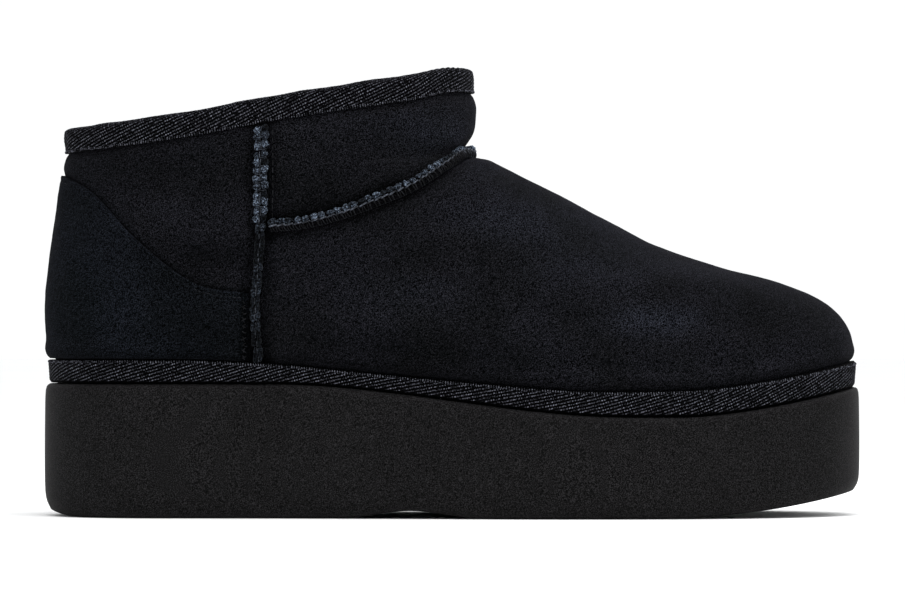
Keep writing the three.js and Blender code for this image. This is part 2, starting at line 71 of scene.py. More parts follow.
# Upper and trims
WALL = 4.0
COLLAR_WIDTH = 78.0
COLLAR_BACK_HEIGHT = 128.8
COLLAR_FRONT_HEIGHT = 148.5
COLLAR_DIP = 1.1
COLLAR_LIFT = 0.4
COLLAR_HUMP = 1.5
GAP = 0.3
LEDGE = 1.7
SOLE_TAPE_THICKNESS = 1.6
SOLE_TAPE_HEIGHT = 8.6
COLLAR_TAPE_THICKNESS = 1.2
COLLAR_TAPE_HEIGHT = 7.0
COUNTER_THICKNESS = 1.2
SIDE_SEAM_WIDTH = 4.6
SIDE_SEAM_FOOT_WIDTH = 3.0
VAMP_SEAM_WIDTH = 4.6
INSOLE_THICKNESS = 5.0
INSOLE_CLEARANCE = 0.4

FEATHER_INSET = LEDGE + SOLE_TAPE_THICKNESS + GAP
FOOT_LENGTH = SOLE_LENGTH - 2 * FEATHER_INSET

# Shares of the sole's length
HEEL_CENTRE = 0.142
BALL_CENTRE = 0.695
SEAT_ENDS = 0.28
BALL_FLAT = 0.72
TOP_RISE_STARTS = 0.78
SPRING_STARTS = 0.74
BEVEL_ENDS = 0.05
ARCH_STARTS = 0.36
ARCH_ENDS = 0.54
SWING_STARTS = 0.3

# Shares of the rise from the feather edge to the collar
LAST_ENDS = 0.42
SHAFT_STARTS = 0.25
SHAFT_ENDS = 0.6
WAVE_STARTS = 0.833
SEAM_JUNCTION = 0.55
JUNCTION_BLEND = 0.08
SLOPE_STEP = 1e-3

# Where the collar humps up, as shares of its length from back to front
HUMP_CENTRE = 0.945
HUMP_REACH = 0.06

# Powers of the outline's front end: 2 is an ellipse, and more is squarer
SOLE_BLUNT = 2.35
COLLAR_BLUNT = 2.15

# Sections of the upper, from the feather edge to the collar's edge, as shares of the sizes above
SECTION_COLUMNS = ("backX", "backUp", "frontX", "frontUp", "heelAt", "heel", "broadAt", "broad")
SECTIONS = np.array([
    (0, 0, 1, 0, 0.142, 1, 0.695, 1),
    (-0.002, 0.09, 1.002, 0.088, 0.142, 1.025, 0.69, 1.022),
    (-0.006, 0.185, 1.001, 0.18, 0.143, 1.07, 0.672, 1.052),
    (-0.0075, 0.28, 0.972, 0.266, 0.146, 1.075, 0.639, 0.99),
    (-0.006, 0.374, 0.912, 0.335, 0.15, 1.04, 0.583, 0.959),
    (-0.0034, 0.457, 0.8327, 0.3873, 0.158, 0.99, 0.4786, 0.984),
    (-0.0007, 0.534, 0.7544, 0.4517, 0.17, 0.955, 0.404, 1.0256),
    (0.0026, 0.611, 0.6836, 0.5407, 0.19, 0.945, 0.348, 1.045),
    (0.006, 0.688, 0.6127, 0.6326, 0.208, 0.955, 0.318, 1.035),
    (0.009, 0.76, 0.5438, 0.7216, 0.223, 0.965, 0.294, 1.025),
    (0.0116, 0.825, 0.5158, 0.7528, 0.234, 0.975, 0.282, 1.015),
    (0.0142, 0.908, 0.527, 0.8545, 0.243, 0.988, 0.275, 1.01),
    (0.0171, 1, 0.5197, 1, 0.25, 0.995, 0.268, 1),
])
LAST_ROW = len(SECTIONS) - 1

# Paths on the upper: x as a share of the foot's length, then the share of the height
COUNTER_EDGE = (
    (-0.004, 0.855), (0.017, 0.82), (0.0544, 0.738), (0.0984, 0.584),
    (0.1424, 0.457), (0.186, 0.366), (0.246, 0.325),
)
COUNTER_FRONT = COUNTER_EDGE[-1][0]
VAMP_SEAM_PATH = (
    (0.275, 0.557), (0.3175, 0.56), (0.3615, 0.582), (0.4055, 0.619),
    (0.449, 0.66), (0.49, 0.712), (0.5166, 0.752),
)
# The share of the height first, then x
SIDE_SEAM_PATH = ((0.08, 0.2594), (0.28, 0.2564), (0.49, 0.2617), (0.62, 0.263), (0.95, 0.264))
# The share of the sole's length, then how much of the sole's tape shows there
TAPE_SHOW = ((0, 0.9), (0.2, 0.9), (0.38, 0.65), (0.58, 0.85), (0.8, 1), (1, 1))
# Share of the platform's height, inset from the outline as a share of EDGE_ROUNDING
PLATFORM_PROFILE = (
    (0, 1), (0.05, 0.4), (0.12, 0.1), (0.35, 0), (0.75, 0.05), (0.93, 0.15), (0.985, 0.45), (1, 0.95),
)


# Small mathematics

def smooth(value):
    """Eases from 0 up to 1, and is level before and after."""
    t = np.clip(value, 0.0, 1.0)
    return t * t * (3 - 2 * t)


def ease(value, start, reach):
    """Eases from 0 at a start up to 1 at the end of a reach, which runs down where it is negative."""
    return smooth((value - start) / reach)


def lerp(a, b, t):
    return a + (b - a) * t


def bump_at(value, centre, width):
    """A soft bump, 1 at its centre."""
    return np.exp(-(((value - centre) / width) ** 2))


def swell(form, distance):
    """A soft bump, given by its height, where its crest lies, and its width."""
    height, crest, width = form
    return height * bump_at(distance, crest, width)


def unit(vectors):
    return vectors / np.linalg.norm(vectors, axis=-1, keepdims=True)


def running_length(points):
    """The length along a line up to each of its points."""
    return np.concatenate([[0], np.cumsum(np.linalg.norm(np.diff(points, axis=0), axis=1))])


def spread(*values):
    """The values as floats, in arrays of one shape."""
    return np.broadcast_arrays(*[np.asarray(value, dtype=float) for value in values])


def hermite(t, start, end, slope_start, slope_end):
    """The cubic from start to end that has the given slopes there."""
    t2, t3 = t * t, t * t * t
    return (
        (2 * t3 - 3 * t2 + 1) * start + (t3 - 2 * t2 + t) * slope_start
        + (3 * t2 - 2 * t3) * end + (t3 - t2) * slope_end
    )


def read_table(rows, position):
    """A smooth curve through (position, value) rows, straight beyond both ends."""
    at, value = np.asarray(rows, dtype=float).T
    slopes = np.empty(len(at))
    slopes[1:-1] = (value[2:] - value[:-2]) / (at[2:] - at[:-2])
    slopes[0] = (value[1] - value[0]) / (at[1] - at[0])
    slopes[-1] = (value[-1] - value[-2]) / (at[-1] - at[-2])
    position = np.asarray(position, dtype=float)
    i = np.clip(np.searchsorted(at, position, side="right") - 1, 0, len(at) - 2)
    span = at[i + 1] - at[i]
    t = (position - at[i]) / span
    inside = hermite(t, value[i], value[i + 1], slopes[i] * span, slopes[i + 1] * span)
    before = value[0] + slopes[0] * (position - at[0])
    after = value[-1] + slopes[-1] * (position - at[-1])
    return np.where(position <= at[0], before, np.where(position >= at[-1], after, inside))


HALVINGS = 32


def solve(rising, shape, low=0.0, high=1.0):
    """Where a rising function crosses zero between low and high, by halving the range."""
    low, high = np.full(shape, low, dtype=float), np.full(shape, high, dtype=float)
    for _ in range(HALVINGS):
        middle = (low + high) / 2
        below = rising(middle) < 0
        low, high = np.where(below, middle, low), np.where(below, high, middle)
    return (low + high) / 2


# Repeatable noise

HASH_PRIMES = (0x9E3779B1, 0x85EBCA77, 0xC2B2AE3D)
HASH_MASK = np.uint64(0xFFFFFFFF)


def hashed(cells, seed):
    """A number from 0 to 1 for each cell, the same in every run."""
    value = np.full(np.broadcast(*cells).shape, seed * 7919 + 17, dtype=np.uint64)
    for cell, prime in zip(cells, HASH_PRIMES):
        value = (value + cell.astype(np.int64).astype(np.uint64)) & HASH_MASK
        value = (value * np.uint64(prime)) & HASH_MASK
        value = value ^ (value >> np.uint64(15))
    return value.astype(float) / 2 ** 32


def draws(cells, seed, count):
    """Numbers from -0.5 to 0.5 for one cell, the same in every run."""
    return [hashed([np.array([cell]) for cell in cells], seed + n)[0] - 0.5 for n in range(count)]


def noise(points, size, seed):
    """Soft noise from -1 to 1 at 3D points, with blobs of about the given size."""
    scaled = points / size
    cell = np.floor(scaled)
    t = smooth(scaled - cell)
    total = 0.0
    for corner in range(8):
        offset = np.array([corner & 1, (corner >> 1) & 1, corner >> 2])
        weight = np.prod(np.where(offset == 1, t, 1 - t), axis=-1)
        corner_cell = cell + offset
        total = total + weight * hashed([corner_cell[..., k] for k in range(3)], seed)
    return 2 * total - 1


def layered(points, layers):
    """Noise in layers of (height, size, seed)."""
    return sum(height * noise(points, size, seed) for height, size, seed in layers)


# How near a tuft's middle comes to the border of its cell
TUFT_MARGIN = 0.15


def tufts(u, v, size, seed):
    """Rounded tufts: 1 at the middle of a tuft, falling to 0 between tufts."""
    nearest = np.full(np.broadcast(u, v).shape, np.inf)
    cell_u = np.floor(u / size)
    cell_v = np.floor(v / size)
    for du in (-1, 0, 1):
        for dv in (-1, 0, 1):
            cu, cv = cell_u + du, cell_v + dv
            pu = cu + lerp(TUFT_MARGIN, 1 - TUFT_MARGIN, hashed([cu, cv], seed))
            pv = cv + lerp(TUFT_MARGIN, 1 - TUFT_MARGIN, hashed([cu, cv], seed + 1))
            nearest = np.minimum(nearest, (u / size - pu) ** 2 + (v / size - pv) ** 2)
    return np.sqrt(np.clip(1 - nearest, 0, 1))


def tufted(u, v, layers):
    """Tufts in layers of (height, size, seed)."""
    return sum(height * tufts(u, v, size, seed) for height, size, seed in layers)


# The platform's and the last's own curves

def seat_height(x):
    share = x / SOLE_LENGTH
    fall = ease(share, SEAT_ENDS, BALL_FLAT - SEAT_ENDS)
    rise = np.maximum(0, (share - TOP_RISE_STARTS) / (1 - TOP_RISE_STARTS))
    return HEEL_HEIGHT - (HEEL_HEIGHT - BALL_HEIGHT) * fall + TOP_TOE_RISE * rise ** 1.5


def underside(x):
    share = x / SOLE_LENGTH
    spring = np.maximum(0, (share - SPRING_STARTS) / (1 - SPRING_STARTS))
    bevel = np.maximum(0, 1 - share / BEVEL_ENDS)
    arch = np.clip((share - ARCH_STARTS) / (ARCH_ENDS - ARCH_STARTS), 0, 1)
    return TOE_SPRING * spring ** 2 + HEEL_BEVEL * bevel ** 2 + ARCH_LIFT * np.sin(np.pi * arch) ** 2


def centre_line(x):
    past = np.maximum(0, x / SOLE_LENGTH - SWING_STARTS) / (1 - SWING_STARTS)
    return INWARD_SWING * past * past


def half_width(form, x, inner):
    side = np.where(inner, 1.0, -1.0)
    back_t = np.clip((form["heelX"] - x) / (form["heelX"] - form["backX"]), 0, 1)
    back = form["heelHalf"] * np.sqrt(1 - back_t ** 2)
    broad_x = form["broadX"] + side * form["skew"]
    middle_t = np.clip((x - form["heelX"]) / (broad_x - form["heelX"]), 0, 1)
    dip = np.where(inner, form["innerDip"], form["outerDip"]) * np.sin(np.pi * middle_t) ** 2
    middle = lerp(form["heelHalf"], form["broadHalf"], smooth(middle_t)) - dip
    front_t = np.clip((x - broad_x) / (form["frontX"] - broad_x), 0, 1)
    front = form["broadHalf"] * (1 - front_t ** form["blunt"]) ** (1 / form["blunt"])
    return np.where(x <= form["heelX"], back, np.where(x < broad_x, middle, front))


def ring_plan(form, turn):
    share = (1 - np.cos(2 * np.pi * turn)) / 2
    x = lerp(form["backX"], form["frontX"], share)
    inner = turn % 1.0 > 0.5
    y = centre_line(x) + np.where(inner, 1.0, -1.0) * half_width(form, x, inner)
    return x, y, share


def sole_form(inset):
    length = SOLE_LENGTH - 2 * inset
    return {
        "backX": inset,
        "frontX": inset + length,
        "heelX": inset + HEEL_CENTRE * length,
        "heelHalf": HEEL_WIDTH / 2 - inset,
        "broadX": inset + BALL_CENTRE * length,
        "broadHalf": BALL_WIDTH / 2 - inset,
        "outerDip": OUTER_WAIST_DIP,
        "innerDip": INNER_WAIST_DIP,
        "skew": BALL_SKEW,
        "blunt": SOLE_BLUNT,
    }


def foot_place(share):
    """The x of a share of the foot's length."""
    return FEATHER_INSET + share * FOOT_LENGTH


def foot_share(x):
    return (x - FEATHER_INSET) / FOOT_LENGTH


def upper_form(rise):
    """The outline's measures at each rise, from 0 at the feather edge to 1 at the collar's edge."""
    rise = np.asarray(rise, dtype=float)
    position = np.clip(rise, 0, 1) * LAST_ROW
    start = np.minimum(np.floor(position), LAST_ROW - 1).astype(int)
    before, here, there, beyond = [SECTIONS[np.clip(start + k, 0, LAST_ROW)] for k in (-1, 0, 1, 2)]
    rows = hermite((position - start)[..., None], here, there, (there - before) / 2, (beyond - here) / 2)
    value = {name: rows[..., k] for k, name in enumerate(SECTION_COLUMNS)}
    shaft = ease(rise, SHAFT_STARTS, SHAFT_ENDS - SHAFT_STARTS)
    low = 1 - smooth(rise / LAST_ENDS)
    return {
        "backX": foot_place(value["backX"]),
        "frontX": foot_place(value["frontX"]),
        "backZ": lerp(seat_height(foot_place(0)) + GAP, COLLAR_BACK_HEIGHT, value["backUp"]),
        "frontZ": lerp(seat_height(foot_place(1)) + GAP, COLLAR_FRONT_HEIGHT, value["frontUp"]),
        "heelX": foot_place(value["heelAt"]),
        "heelHalf": lerp(HEEL_WIDTH / 2 - FEATHER_INSET, COLLAR_WIDTH / 2, shaft) * value["heel"],
        "broadX": foot_place(value["broadAt"]),
        "broadHalf": lerp(BALL_WIDTH / 2 - FEATHER_INSET, COLLAR_WIDTH / 2, shaft) * value["broad"],
        "outerDip": OUTER_WAIST_DIP * low,
        "innerDip": INNER_WAIST_DIP * low,
        "skew": BALL_SKEW * (1 - shaft),
        "blunt": lerp(SOLE_BLUNT, COLLAR_BLUNT, shaft),
        "follow": low,
        "wave": ease(rise, WAVE_STARTS, 1 - WAVE_STARTS),
    }


def collar_wave(share):
    """How far the collar's edge lies above the straight line between its ends."""
    swing = -np.sin(2 * np.pi * share)
    hump = COLLAR_HUMP * bump_at(share, HUMP_CENTRE, HUMP_REACH)
    return swing * np.where(swing < 0, COLLAR_DIP, COLLAR_LIFT) + hump


def surface(turn, rise):
    """Points on the outside of the upper."""
    turn, rise = spread(turn, rise)
    form = upper_form(rise)
    x, y, share = ring_plan(form, turn)
    chord = lerp(seat_height(form["backX"]), seat_height(form["frontX"]), share)
    z = lerp(form["backZ"], form["frontZ"], share) + form["follow"] * (seat_height(x) - chord)
    z = z + form["wave"] * collar_wave(share)
    return np.stack([x, y, z], axis=-1)


def normals(turn, rise):
    turn, rise = spread(turn, rise)
    around = surface(turn + SLOPE_STEP, rise) - surface(turn - SLOPE_STEP, rise)
    up = surface(turn, np.minimum(1, rise + SLOPE_STEP)) - surface(turn, np.maximum(0, rise - SLOPE_STEP))
    return unit(np.cross(around, up))


def off_surface(turn, rise, off):
    return surface(turn, rise) + normals(turn, rise) * np.asarray(off, dtype=float)[..., None]


def rise_at_height(turn, height):
    """The rise at which each turn reaches a height."""
    turn, height = spread(turn, height)
    return solve(lambda rise: surface(turn, rise)[..., 2] - height, turn.shape)


def collar_line(x):
    """The height of the collar's edge at x."""
    form = upper_form(1.0)
    share = np.clip((x - form["backX"]) / (form["frontX"] - form["backX"]), 0, 1.2)
    return lerp(form["backZ"], form["frontZ"], share) + form["wave"] * collar_wave(np.minimum(share, 1))


def level_at(x, up):
    """The height at a share of the way from the platform to the collar."""
    return lerp(seat_height(x), collar_line(x), up)


def tape_level(x, level):
    """The height at a share of the way up the sole's tape."""
    return seat_height(x) + GAP + level * SOLE_TAPE_HEIGHT * read_table(TAPE_SHOW, x / SOLE_LENGTH)


# How many points the solids' own outlines have
OUTLINE_POINTS = 56


def shift_to_origin(points):
    """Moves points from the back of the sole to the frame's origin, under the middle of its box."""
    _, y, _ = ring_plan(sole_form(0.0), np.arange(OUTLINE_POINTS) / OUTLINE_POINTS)
    return points - np.array([SOLE_LENGTH / 2, (y.min() + y.max()) / 2, 0.0])


# Mesh making

def place_object(name, data):
    thing = bpy.data.objects.new(name, data)
    bpy.context.scene.collection.objects.link(thing)
    return thing


class Pile:
    """Collects points and faces that become one piece."""

    def __init__(self):
        self.points = []
        self.faces = []
        self.values = {}
        self.count = 0

    def add(self, points, faces, **values):
        points = np.asarray(points, dtype=float).reshape(-1, 3)
        self.points.append(points)
        self.faces.extend((np.asarray(faces) + self.count).tolist())
        for name, value in values.items():
            flat = np.broadcast_to(np.asarray(value, dtype=float), (len(points),))
            self.values.setdefault(name, []).append(flat)
        self.count += len(points)

    def build(self, name, material, slot, *replaced):
        points = shift_to_origin(np.concatenate(self.points)) * MM
        mesh = bpy.data.meshes.new(name)
        mesh.from_pydata(points.tolist(), [], self.faces)
        for value_name, pieces in self.values.items():
            layer = mesh.attributes.new(value_name, "FLOAT", "POINT")
            layer.data.foreach_set("value", np.concatenate(pieces).astype(np.float32))
        mesh.polygons.foreach_set("use_smooth", [True] * len(mesh.polygons))
        mesh.materials.append(material)
        mesh.update()
        piece = place_object(name, mesh)
        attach(piece, "root")
        if replaced:
            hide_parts(*replaced)


def grid_faces(rows, columns, wrap_columns=False, wrap_rows=False):
    """Quads of a grid whose columns run around and whose rows run up, seen from outside."""
    j = np.arange(rows if wrap_rows else rows - 1)[:, None]
    i = np.arange(columns if wrap_columns else columns - 1)[None, :]
    j_next, i_next = (j + 1) % rows, (i + 1) % columns
    quads = [j * columns + i, j * columns + i_next, j_next * columns + i_next, j_next * columns + i]
    return np.stack([np.broadcast_to(q, (j.size, i.size)) for q in quads], axis=-1).reshape(-1, 4)


def ring_pile(rings, **values):
    """A pile of rings that close both around and across, with a value for each point."""
    rows, columns = rings.shape[:2]
    flat = {name: np.ravel(value) for name, value in values.items()}
    pile = Pile()
    pile.add(rings, grid_faces(rows, columns, wrap_columns=True, wrap_rows=True), **flat)
    return pile


def close_ends(pile, base, rows, columns, flip=False):
    """Fans to a grid's first and last ring from the two points that follow the grid."""
    last = base + (rows - 1) * columns
    start, end = base + rows * columns, base + rows * columns + 1
    for k in range(columns):
        k_next = (k + 1) % columns
        for fan in ([start, base + k_next, base + k], [end, last + k, last + k_next]):
            pile.faces.append(fan[::-1] if flip else fan)


def sheet(pile, outer, inner, **values):
    """A closed sheet between two open grids of the same size."""
    rows, columns = outer.shape[:2]
    count = rows * columns
    quads = grid_faces(rows, columns)
    border = (
        list(range(columns - 1))
        + [j * columns + columns - 1 for j in range(rows - 1)]
        + [(rows - 1) * columns + i for i in range(columns - 1, 0, -1)]
        + [j * columns for j in range(rows - 1, 0, -1)]
    )
    edge = np.array([(a, a + count, b + count, b) for a, b in zip(border, border[1:] + border[:1])])
    both = {name: np.concatenate([np.ravel(v), np.ravel(v)]) for name, v in values.items()}
    points = np.concatenate([outer.reshape(-1, 3), inner.reshape(-1, 3)])
    pile.add(points, np.concatenate([quads, quads[:, ::-1] + count, edge]), **both)


# Any direction that the threads don't run along
TUBE_HELPER = np.array([0.31, 0.57, 0.76])


def tube(pile, path, radius, sides=5, **values):
    """A round thread along a path, closed at both ends."""
    along = unit(np.gradient(path, axis=0))
    first = unit(np.cross(along, TUBE_HELPER))
    second = np.cross(along, first)
    angle = (np.arange(sides) / sides * 2 * np.pi)[:, None]
    radius = np.broadcast_to(np.asarray(radius, dtype=float), (len(path),))[:, None, None]
    around = np.cos(angle) * first[:, None, :] + np.sin(angle) * second[:, None, :]
    rings = path[:, None, :] + radius * around
    base = pile.count
    points = np.concatenate([rings.reshape(-1, 3), path[:1], path[-1:]])
    pile.add(points, grid_faces(len(path), sides, wrap_columns=True), **values)
    close_ends(pile, base, len(path), sides)


# How strongly a blob's surface is dented, and the size of the dents on a ball of radius 1
BLOB_LUMPS = 0.5
BLOB_LUMP_SIZE = 0.6
# How far the noise is shifted from one blob to the next
BLOB_SHIFT = 3.7


def blob(pile, centre, axes, radii, seed, rings=7, sides=12, **values):
    """A lumpy closed ball with its own three axes and radii."""
    polar = ((np.arange(rings) + 1) / (rings + 1) * np.pi)[:, None]
    angle = (np.arange(sides) / sides * 2 * np.pi)[None, :]
    level, height = np.sin(polar), np.cos(polar)
    ball = np.stack(spread(level * np.cos(angle), level * np.sin(angle), height), axis=-1)
    ball = np.concatenate([ball.reshape(-1, 3), [[0, 0, 1], [0, 0, -1]]])
    lumps = 1 + BLOB_LUMPS * noise(ball + seed * BLOB_SHIFT, BLOB_LUMP_SIZE, seed)
    points = centre + (ball * np.asarray(radii) * lumps[:, None]) @ np.asarray(axes)
    base = pile.count
    # Rings run from the top down here, so the faces are turned over
    pile.add(points, grid_faces(rings, sides, wrap_columns=True)[:, ::-1], **values)
    close_ends(pile, base, rings, sides, flip=True)


# Paths of the seams over the upper

class SurfacePath:
    """A line on the upper, by length, with its own axes at every point."""

    def __init__(self, turn, rise, off=0.0):
        self.rises = rise
        self.points = off_surface(turn, rise, off)
        self.at = running_length(self.points)
        self.length = self.at[-1]
        self.normal = normals(turn, rise)
        self.tangent = unit(np.gradient(self.points, axis=0))
        self.across = unit(np.cross(self.tangent, self.normal))

    def sample(self, rows, at):
        return np.stack([np.interp(at, self.at, rows[:, k]) for k in range(3)], axis=-1)

    def place(self, at, across=0.0, height=0.0):
        at, across, height = spread(at, across, height)
        return (
            self.sample(self.points, at) + self.sample(self.across, at) * across[..., None]
            + self.sample(self.normal, at) * height[..., None]
        )

    def axes(self, at):
        return np.stack([self.sample(rows, at) for rows in (self.across, self.tangent, self.normal)])


def side_turn(rise, inner):
    """Where the side seam crosses each rise."""
    def error(t):
        point = surface(1 - t if inner else t, rise)
        x, z = point[..., 0], point[..., 2]
        up = (z - seat_height(x)) / (collar_line(x) - seat_height(x))
        return x - foot_place(read_table(SIDE_SEAM_PATH, up))

    turn = solve(error, rise.shape, high=0.5)
    return 1 - turn if inner else turn


def side_seam_path(inner):
    """From the sole's tape up to the collar's."""
    rises = np.linspace(0, 1, 400)
    turns = side_turn(rises, inner)
    points = surface(turns, rises)
    low = points[:, 2] > tape_level(points[:, 0], 1) + GAP
    high = points[:, 2] < surface(turns, 1.0)[:, 2] - COLLAR_TAPE_HEIGHT - 2 * GAP
    return SurfacePath(turns[low & high], rises[low & high])


def vamp_seam_path():
    """From side seam to side seam over the instep."""
    junction_x = foot_place(float(read_table(SIDE_SEAM_PATH, SEAM_JUNCTION)))
    turns = np.linspace(0.1, 0.9, 900)

    def error(rise):
        point = surface(turns, rise)
        return point[:, 2] - level_at(point[:, 0], read_table(VAMP_SEAM_PATH, foot_share(point[:, 0])))

    rises = solve(error, turns.shape, high=0.95)
    keep = surface(turns, rises)[:, 0] > junction_x + SIDE_SEAM_WIDTH / 2 + 2 * GAP
    return SurfacePath(turns[keep], rises[keep])


# Outline of the counter

# How much nearer its front edge lies to the side seam than the solid's, and where its stitches run
COUNTER_TUCK = 0.9
STITCH_INSET = 1.9
STITCH_INSET_FRONT = 1.1
COUNTER_THREAD = 0.13


COUNTER_RISES = np.linspace(0, 1, 240)


def edge_turns(inner):
    """Where the counter's front edge crosses each rise."""
    front_x = foot_place(COUNTER_FRONT) + COUNTER_TUCK
    return solve(
        lambda t: surface(1 - t if inner else t, COUNTER_RISES)[..., 0] - front_x,
        COUNTER_RISES.shape, high=0.5,
    )


OUTER_EDGE_TURNS = edge_turns(False)
INNER_EDGE_TURNS = edge_turns(True)


def counter_turn(share, rise):
    """The turn at a share of the counter's length, from -1 at its inner front to 1 at its outer."""
    outer_turn = np.interp(rise, COUNTER_RISES, OUTER_EDGE_TURNS)
    inner_turn = np.interp(rise, COUNTER_RISES, INNER_EDGE_TURNS)
    return np.where(share >= 0, share * outer_turn, share * inner_turn)


def counter_bounds(share):
    """The rises of the counter's lower and upper edges."""
    def rise_at_level(level):
        def error(rise):
            point = surface(counter_turn(share, rise), rise)
            return point[..., 2] - level(point[..., 0])

        return solve(error, share.shape)

    low = rise_at_level(lambda x: tape_level(x, 1) + 2 * GAP)
    high = rise_at_level(lambda x: level_at(x, read_table(COUNTER_EDGE, foot_share(x))))
    return low, high


def counter_edge_path():
    share = np.linspace(-1, 1, 500)
    _, high = counter_bounds(share)
    return SurfacePath(counter_turn(share, high), high)


counter_edge = counter_edge_path()
outer_seam = side_seam_path(False)
inner_seam = side_seam_path(True)
vamp_seam = vamp_seam_path()
SEAMS = (outer_seam, inner_seam, vamp_seam)


# Every sixth point of a path is near enough for a distance
DISTANCE_STRIDE = 6


def distance_to(points, path):
    """Distance of each point from a seam's line."""
    flat = points.reshape(-1, 3)
    nearest = np.full(len(flat), np.inf)
    for stop in path.points[::DISTANCE_STRIDE]:
        nearest = np.minimum(nearest, ((flat - stop) ** 2).sum(axis=1))
    return np.sqrt(nearest).reshape(points.shape[:-1])


# Materials

def new_material(name):
    material = bpy.data.materials.new(name)
    material.use_nodes = True
    return material, material.node_tree


def set_inputs(tree, node, inputs):
    """Gives a node's inputs their values or links."""
    for name, value in inputs.items():
        if isinstance(value, bpy.types.NodeSocket):
            tree.links.new(value, node.inputs[name])
        else:
            node.inputs[name].default_value = value


def add_node(tree, kind, inputs=None, **settings):
    node = tree.nodes.new(kind)
    for name, value in settings.items():
        setattr(node, name, value)
    set_inputs(tree, node, inputs or {})
    return node


def object_coordinates(tree):
    return add_node(tree, "ShaderNodeTexCoord").outputs["Object"]


def noise_node(tree, size, detail=2.0, roughness=0.5):
    """Noise with blobs of a given size in millimetres."""
    inputs = {"Vector": object_coordinates(tree), "Scale": 1 / (size * MM)}
    inputs.update({"Detail": detail, "Roughness": roughness})
    return add_node(tree, "ShaderNodeTexNoise", inputs).outputs["Fac"]


def cell_node(tree, size):
    """How far the nearest of scattered points lies, for points about a size in millimetres apart."""
    inputs = {"Vector": object_coordinates(tree), "Scale": 1 / (size * MM)}
    return add_node(tree, "ShaderNodeTexVoronoi", inputs).outputs["Distance"]


def ramp(tree, source, *stops):
    """A colour ramp from (position, colour) stops, where a single number is a grey."""
    node = add_node(tree, "ShaderNodeValToRGB", {"Fac": source})
    elements = node.color_ramp.elements
    while len(elements) < len(stops):
        elements.new(0.5)
    for element, (position, colour) in zip(elements, stops):
        element.position = position
        element.color = (*np.broadcast_to(np.asarray(colour, dtype=float), 3), 1)
    return node.outputs["Color"]


def multiply(tree, colour, *others):
    for other in others:
        inputs = {0: 1.0, 6: colour, 7: other}
        node = add_node(tree, "ShaderNodeMix", inputs, data_type="RGBA", blend_type="MULTIPLY")
        colour = node.outputs[2]
    return colour


def attribute(tree, name):
    return add_node(tree, "ShaderNodeAttribute", attribute_name=name).outputs["Fac"]


def finish(tree, colour, *bumps, roughness, specular, sheen=0, sheen_roughness=0.5, sheen_tint=(1, 1, 1)):
    """A material's colour and gloss, and its bumps of (height, depth in millimetres, strength)."""
    inputs = {
        "Base Color": colour, "Roughness": roughness, "Specular IOR Level": specular,
        "Sheen Weight": sheen, "Sheen Roughness": sheen_roughness, "Sheen Tint": (*sheen_tint, 1),
    }
    for height, depth, strength in bumps:
        layer = {"Height": height, "Distance": depth * MM, "Strength": strength}
        if "Normal" in inputs:
            layer["Normal"] = inputs["Normal"]
        inputs["Normal"] = add_node(tree, "ShaderNodeBump", layer).outputs["Normal"]
    set_inputs(tree, tree.nodes["Principled BSDF"], inputs)


SUEDE_DARK = (0.0001, 0.0001, 0.00015)
SUEDE_MID = (0.0009, 0.0009, 0.0012)
SUEDE_LIGHT = (0.0215, 0.0216, 0.026)


def suede_material(name, tint, sheen):
    """Napped suede: a fine grain, brushed clouds, painted sheen patches and painted shade, and a dusty sheen
    at grazing angles.
    """
    material, tree = new_material(name)
    nap = noise_node(tree, 0.28, 1.0, 0.7)
    dark, middle, light = [np.array(tint) * tone for tone in (SUEDE_DARK, SUEDE_MID, SUEDE_LIGHT)]
    colour = multiply(
        tree,
        ramp(tree, nap, (0.45, dark), (0.52, middle), (0.61, light)),
        ramp(tree, noise_node(tree, 24, 1.5), (0.35, (0.8, 0.8, 0.78)), (0.68, (1.16, 1.16, 1.22))),
        ramp(tree, noise_node(tree, 5.5), (0.35, 0.94), (0.65, 1.06)),
        # Painted light in the nap's tone: lighter and bluer in painted sheen patches, darker in painted shade
        ramp(tree, attribute(tree, "brushed"), (0, 0.25), (0.5, 1), (1, (2.0, 2.2, 2.4))),
    )
    finish(
        tree, colour, (noise_node(tree, 2.6), 0.1, 0.3), (nap, 0.16, 0.7),
        roughness=0.95, specular=0.01, sheen=sheen, sheen_roughness=0.45, sheen_tint=(0.78, 0.82, 1.0),
    )
    return material


CURL_SIZE = 3.6
PIT_SPACING = 3.4


def wool_material(name, dark, light, sheen):
    """Tight curls of wool: pale tips, clefts painted dark as shade, and fine fibres over both."""
    material, tree = new_material(name)
    fibres = noise_node(tree, 0.6, 4.0, 0.75)
    # Painted shade in the clefts between curls, with paler tips
    curl_tips_and_cleft_shade = ramp(tree, cell_node(tree, CURL_SIZE), (0.15, 1.7), (0.7, 0.2))
    finish(
        tree, multiply(tree, ramp(tree, fibres, (0.38, dark), (0.66, light)), curl_tips_and_cleft_shade),
        (curl_tips_and_cleft_shade, 1.2, 0.7), (fibres, 0.5, 0.9),
        roughness=0.9, specular=0.1, sheen=sheen, sheen_roughness=0.4, sheen_tint=(0.8, 0.86, 1.0),
    )
    return material


def seam_wool_material(name):
    """Sheared wool that pushes through a seam: bright bluish fibres over a dark root."""
    material, tree = new_material(name)
    fibres = noise_node(tree, 0.55, 3.0, 0.7)
    root, middle, tip = (0.0012, 0.0013, 0.0018), (0.016, 0.02, 0.028), (0.2, 0.25, 0.33)
    colour = multiply(
        tree,
        ramp(tree, fibres, (0.4, root), (0.52, middle), (0.66, tip)),
        # Painted highlight: each nub's own tone, lighter where the nub stands higher
        ramp(tree, attribute(tree, "glow"), (0, 0.05), (1, 1.4)),
    )
    finish(
        tree, colour, (fibres, 0.5, 0.9),
        roughness=0.85, specular=0.05, sheen=0.03, sheen_roughness=0.4, sheen_tint=(0.8, 0.88, 1.0),
    )
    return material


